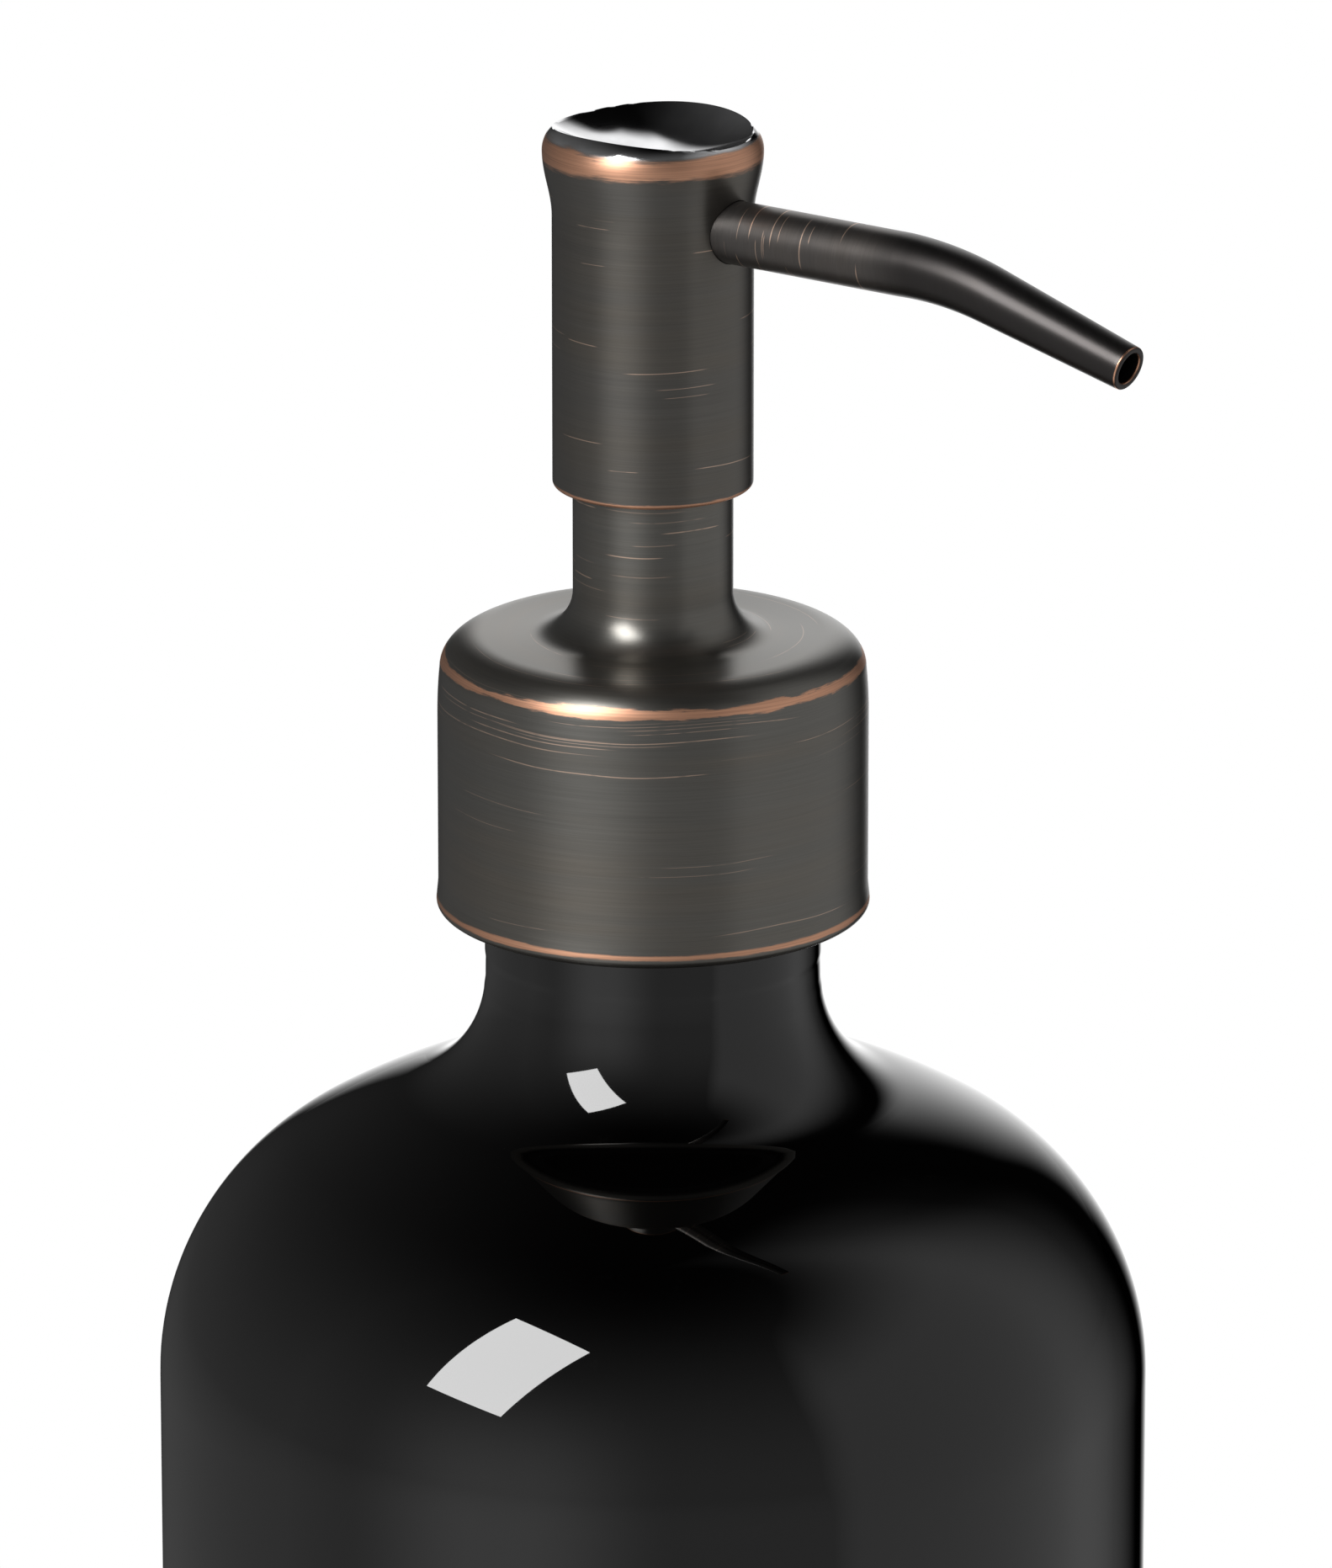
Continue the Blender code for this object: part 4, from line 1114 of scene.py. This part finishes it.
closurePlastic = plastic("closurePlastic", "closure")
naturalPlastic = plastic("naturalPlastic", "natural")
sealPlastic = plastic("sealPlastic", "seal")
gasketFoam = foam("gasketFoam")
drawnSteel = steel("drawnSteel", "drawn")
polishedSteel = steel("polishedSteel", "polished")

# name, node, body, slot, material, rounding of the edges
innerPieces = [
    ("collarInsert", "collar_insert", "collar", "closure_plastic", closurePlastic, 0.00012),
    ("guideBush", "guide_bush", "collar", "natural_plastic", naturalPlastic, 0.0001),
    ("neckGasket", "neck_gasket", "pump", "gasket_foam", gasketFoam, 0.0001),
    ("pumpHousing", "pump_housing", "pump", "natural_plastic", naturalPlastic, 0.0001),
    ("housingCap", "housing_cap", "pump", "natural_plastic", naturalPlastic, 0.0001),
    ("ballRetainer", "ball_retainer", "pump", "natural_plastic", naturalPlastic, 0.00008),
    ("dipTube", "dip_tube", "pump", "natural_plastic", naturalPlastic, 0.00008),
    ("returnSpring", "return_spring", "pump", "spring_steel", drawnSteel, 0),
    ("pistonSeal", "piston_seal", "piston", "seal_plastic", sealPlastic, 0.00006),
    ("pistonStem", "piston_stem", "head", "natural_plastic", naturalPlastic, 0.0001),
    ("pistonRetainer", "piston_retainer", "head", "natural_plastic", naturalPlastic, 0.00008),
    ("headCore", "head_core", "head", "natural_plastic", naturalPlastic, 0.0001),
    ("inletBall", "inlet_ball", "inlet_valve", "spring_steel", polishedSteel, 0),
    ("outletBall", "outlet_ball", "outlet_valve", "spring_steel", polishedSteel, 0),
]
for name, node, body, slot, material, rounding in innerPieces:
    install(refined(name, node, rounding), body, slot, material, node)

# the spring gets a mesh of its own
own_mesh(bpy.data.objects["returnSpring"])


cameraValues = {
    "azimuth": 37.3,
    "elevation": 17.04,
    "distance": 0.93,
    "aimHeight": 0.1662,
    "sideShift": 0.00097,
    "lens": 284.66,
    "sensor": 36,
}

studioValues = {
    "floorRadius": 3.0,
    "floorColours": ((0.74, 0.74, 0.74), (0.8, 0.8, 0.8)),
    "floorGrain": 900.0,
    "floorRoughness": 0.9,
    "whiteFrom": (0.08, 0.26),  # distance over which the seen floor turns plain white
    "nearReach": (1.2, 0.2),
    "contactShade": (0.02, 0.12),
    "softboxPlace": (-0.090, -0.931, 0.920),
    "softboxSize": (0.45, 0.72),
    "softboxRoll": -14,
    "softboxPower": 15.0,
    "softboxAim": (0.011, -0.032, 0.131),
    "floorLightPower": 9.0,
    "floorLightSize": (1.4, 1.0),
    "floorLightBehind": 0.5,
    "floorLightHeight": 1.3,
    # bearings and heights in degrees, each pair from dark to bright
    "frontLeft": (-175.0, -90.0),
    "frontRight": (150.0, 112.0),
    "frontTop": (85.0, -5.0),
    "streakAt": 34.0,
    "streakWidth": (40.0, 4.0),
    "streakTop": (45.0, -5.0),
    "cardLeft": (27.0, 48.0),
    "cardRight": (146.0, 108.0),
    "cardTop": 55.0,
    "cardRise": 0.27,  # the card's top rises this much for each degree of bearing
    "cardSoft": -42.0,
    "rearRight": (154.0, 171.0),
    "rearLeft": (-168.0, -176.0),
    "rearTop": 40.0,
    "rearPeak": 14.0,
    "rearPeakAt": (164.0, 173.0),
    "rearSoft": -16.0,
    "frontGlow": 0.35,
    "streakGlow": 0.4,
    "cardGlow": 0.6,
    "backGlow": 1.35,
    "nearGain": 0.2,
    "overhead": 0.002,
}


def direction(azimuth, elevation):
    a, e = math.radians(azimuth), math.radians(elevation)
    return Vector((math.sin(a) * math.cos(e), -math.cos(a) * math.cos(e), math.sin(e)))


def makeCamera():
    v = cameraValues
    back = direction(v["azimuth"], v["elevation"])
    side = direction(v["azimuth"] + 90, 0)
    aim = Vector((0, 0, v["aimHeight"])) + side * v["sideShift"]
    lens = bpy.data.cameras.new("productCamera")
    lens.lens = v["lens"]
    lens.sensor_width = v["sensor"]
    camera = bpy.data.objects.new("productCamera", lens)
    camera.location = aim + back * v["distance"]
    camera.rotation_mode = "QUATERNION"
    camera.rotation_quaternion = (-back).to_track_quat("-Z", "Y")
    bpy.context.scene.collection.objects.link(camera)
    bpy.context.scene.camera = camera


def areaLight(name, place, aim, size, power, roll=0, glossy=True):
    light = bpy.data.lights.new(name, "AREA")
    light.shape = "RECTANGLE"
    light.size, light.size_y = size
    light.energy = power
    lamp = bpy.data.objects.new(name, light)
    lamp.location = place
    lamp.rotation_mode = "QUATERNION"
    aimed = (Vector(aim) - Vector(place)).to_track_quat("-Z", "Y")
    lamp.rotation_quaternion = aimed @ Quaternion((0, 0, 1), math.radians(roll))
    lamp.visible_glossy = glossy
    bpy.context.scene.collection.objects.link(lamp)


def turnToCamera(tree, vector):
    # x to the right, y away from the camera
    mapping = add(tree, "ShaderNodeMapping", vector_type="TEXTURE")
    mapping.inputs["Rotation"].default_value = (0, 0, math.radians(cameraValues["azimuth"]))
    tree.links.new(vector, mapping.inputs["Vector"])
    return splitPlace(tree, mapping.outputs[0])


def bearing(tree, x, y):
    # degrees round from the camera's side, to the right
    return times(tree, calculate(tree, "ARCTAN2", x, times(tree, y, -1.0)), 180 / math.pi)


def roomGlow(tree, side):
    # how bright the room is round the object: dim front and left, a glow under the softbox,
    # a wide card on the right and a white backdrop behind
    v = studioValues
    left = ramp(tree, side, *v["frontLeft"], "LINEAR")
    front = times(tree, times(tree, left, ramp(tree, side, *v["frontRight"])), v["frontGlow"])
    away = calculate(tree, "ABSOLUTE", plus(tree, side, v["streakAt"]))
    streak = times(tree, ramp(tree, away, *v["streakWidth"]), v["streakGlow"])
    card = times(tree, ramp(tree, side, *v["cardLeft"]), ramp(tree, side, *v["cardRight"]))
    card = times(tree, card, v["cardGlow"])
    rear = larger(tree, ramp(tree, side, *v["rearRight"]), ramp(tree, side, *v["rearLeft"]))
    return front, streak, card, times(tree, rear, v["backGlow"])


def mixShader(tree, factor, a, b):
    mix = add(tree, "ShaderNodeMixShader")
    for socket, value in zip(mix.inputs, (factor, a, b)):
        tree.links.new(value, socket)
    return mix.outputs[0]


def makeFloor():
    v = studioValues
    deselectAll()
    bpy.ops.mesh.primitive_circle_add(vertices=128, radius=v["floorRadius"], fill_type="NGON",
                                      location=(0, 0, 0))
    floor = bpy.context.object
    floor.name = "studioFloor"
    material, tree, shader = newTree("paleFloor")
    place = objectPlace(tree)
    x, y = turnToCamera(tree, place)[:2]
    length = add(tree, "ShaderNodeVectorMath", operation="LENGTH")
    tree.links.new(place, length.inputs[0])
    distance = length.outputs["Value"]
    grain = noise(tree, place, v["floorGrain"], 3.0, 0.6)
    tree.links.new(mixColour(tree, grain, *v["floorColours"]), shader.inputs["Base Color"])
    shader.inputs["Roughness"].default_value = v["floorRoughness"]
    far = add(tree, "ShaderNodeEmission").outputs[0]
    seen = mixShader(tree, ramp(tree, distance, *v["whiteFrom"]), shader.outputs[0], far)
    # what the glass and metal see of the table, painted as a glow: a little brighter towards the
    # object, with a painted contact shadow right by it
    front, streak, card, rear = roomGlow(tree, bearing(tree, x, y))
    near = times(tree, ramp(tree, distance, *v["nearReach"]), v["nearGain"])
    glow = times(tree, plus(tree, front, streak), plus(tree, 1.0, near))
    glow = larger(tree, larger(tree, glow, card), rear)
    # painted contact shadow: the glow is made darker close to the object
    glow = times(tree, glow, ramp(tree, distance, *v["contactShade"]))
    reflected = add(tree, "ShaderNodeEmission")
    tree.links.new(glow, reflected.inputs["Strength"])
    sight = add(tree, "ShaderNodeLightPath").outputs["Is Camera Ray"]
    surface = mixShader(tree, sight, reflected.outputs[0], seen)
    tree.links.new(surface, tree.nodes["Material Output"].inputs["Surface"])
    floor.data.materials.append(material)


def makeWorld():
    v = studioValues
    world = bpy.data.worlds.new("studioWorld")
    world.use_nodes = True
    tree = world.node_tree
    x, y, z = turnToCamera(tree, add(tree, "ShaderNodeTexCoord").outputs["Generated"])
    height = times(tree, calculate(tree, "ARCSINE", z), 180 / math.pi)
    side = bearing(tree, x, y)
    front, streak, card, rear = roomGlow(tree, side)
    front = times(tree, front, ramp(tree, height, *v["frontTop"]))
    glow = plus(tree, front, times(tree, streak, ramp(tree, height, *v["streakTop"])))
    cardTop = plus(tree, v["cardTop"], times(tree, side, v["cardRise"]))
    card = times(tree, card, ramp(tree, minus(tree, height, cardTop), 0.0, v["cardSoft"]))
    peak = ramp(tree, calculate(tree, "ABSOLUTE", side), *v["rearPeakAt"])
    rearTop = plus(tree, v["rearTop"], times(tree, peak, v["rearPeak"]))
    rear = times(tree, rear, ramp(tree, minus(tree, height, rearTop), 0.0, v["rearSoft"]))
    glow = plus(tree, larger(tree, larger(tree, glow, card), rear), v["overhead"])
    sight = add(tree, "ShaderNodeLightPath").outputs["Is Camera Ray"]
    shade = add(tree, "ShaderNodeCombineColor")
    for socket in shade.inputs[:3]:
        tree.links.new(glow, socket)
    seen = mixColour(tree, sight, shade.outputs[0], (1.0, 1.0, 1.0))
    tree.links.new(seen, tree.nodes["Background"].inputs["Color"])
    bpy.context.scene.world = world


def makeLights():
    v = studioValues
    areaLight("softbox", v["softboxPlace"], v["softboxAim"], v["softboxSize"], v["softboxPower"],
              v["softboxRoll"])
    behind = direction(cameraValues["azimuth"] + 180, 0) * v["floorLightBehind"]
    above = behind + Vector((0, 0, v["floorLightHeight"]))
    areaLight("floorLight", above, behind, v["floorLightSize"], v["floorLightPower"], glossy=False)


makeCamera()
makeFloor()
makeWorld()
makeLights()
bpy.context.scene.view_settings.view_transform = "Standard"
print("studio ready")
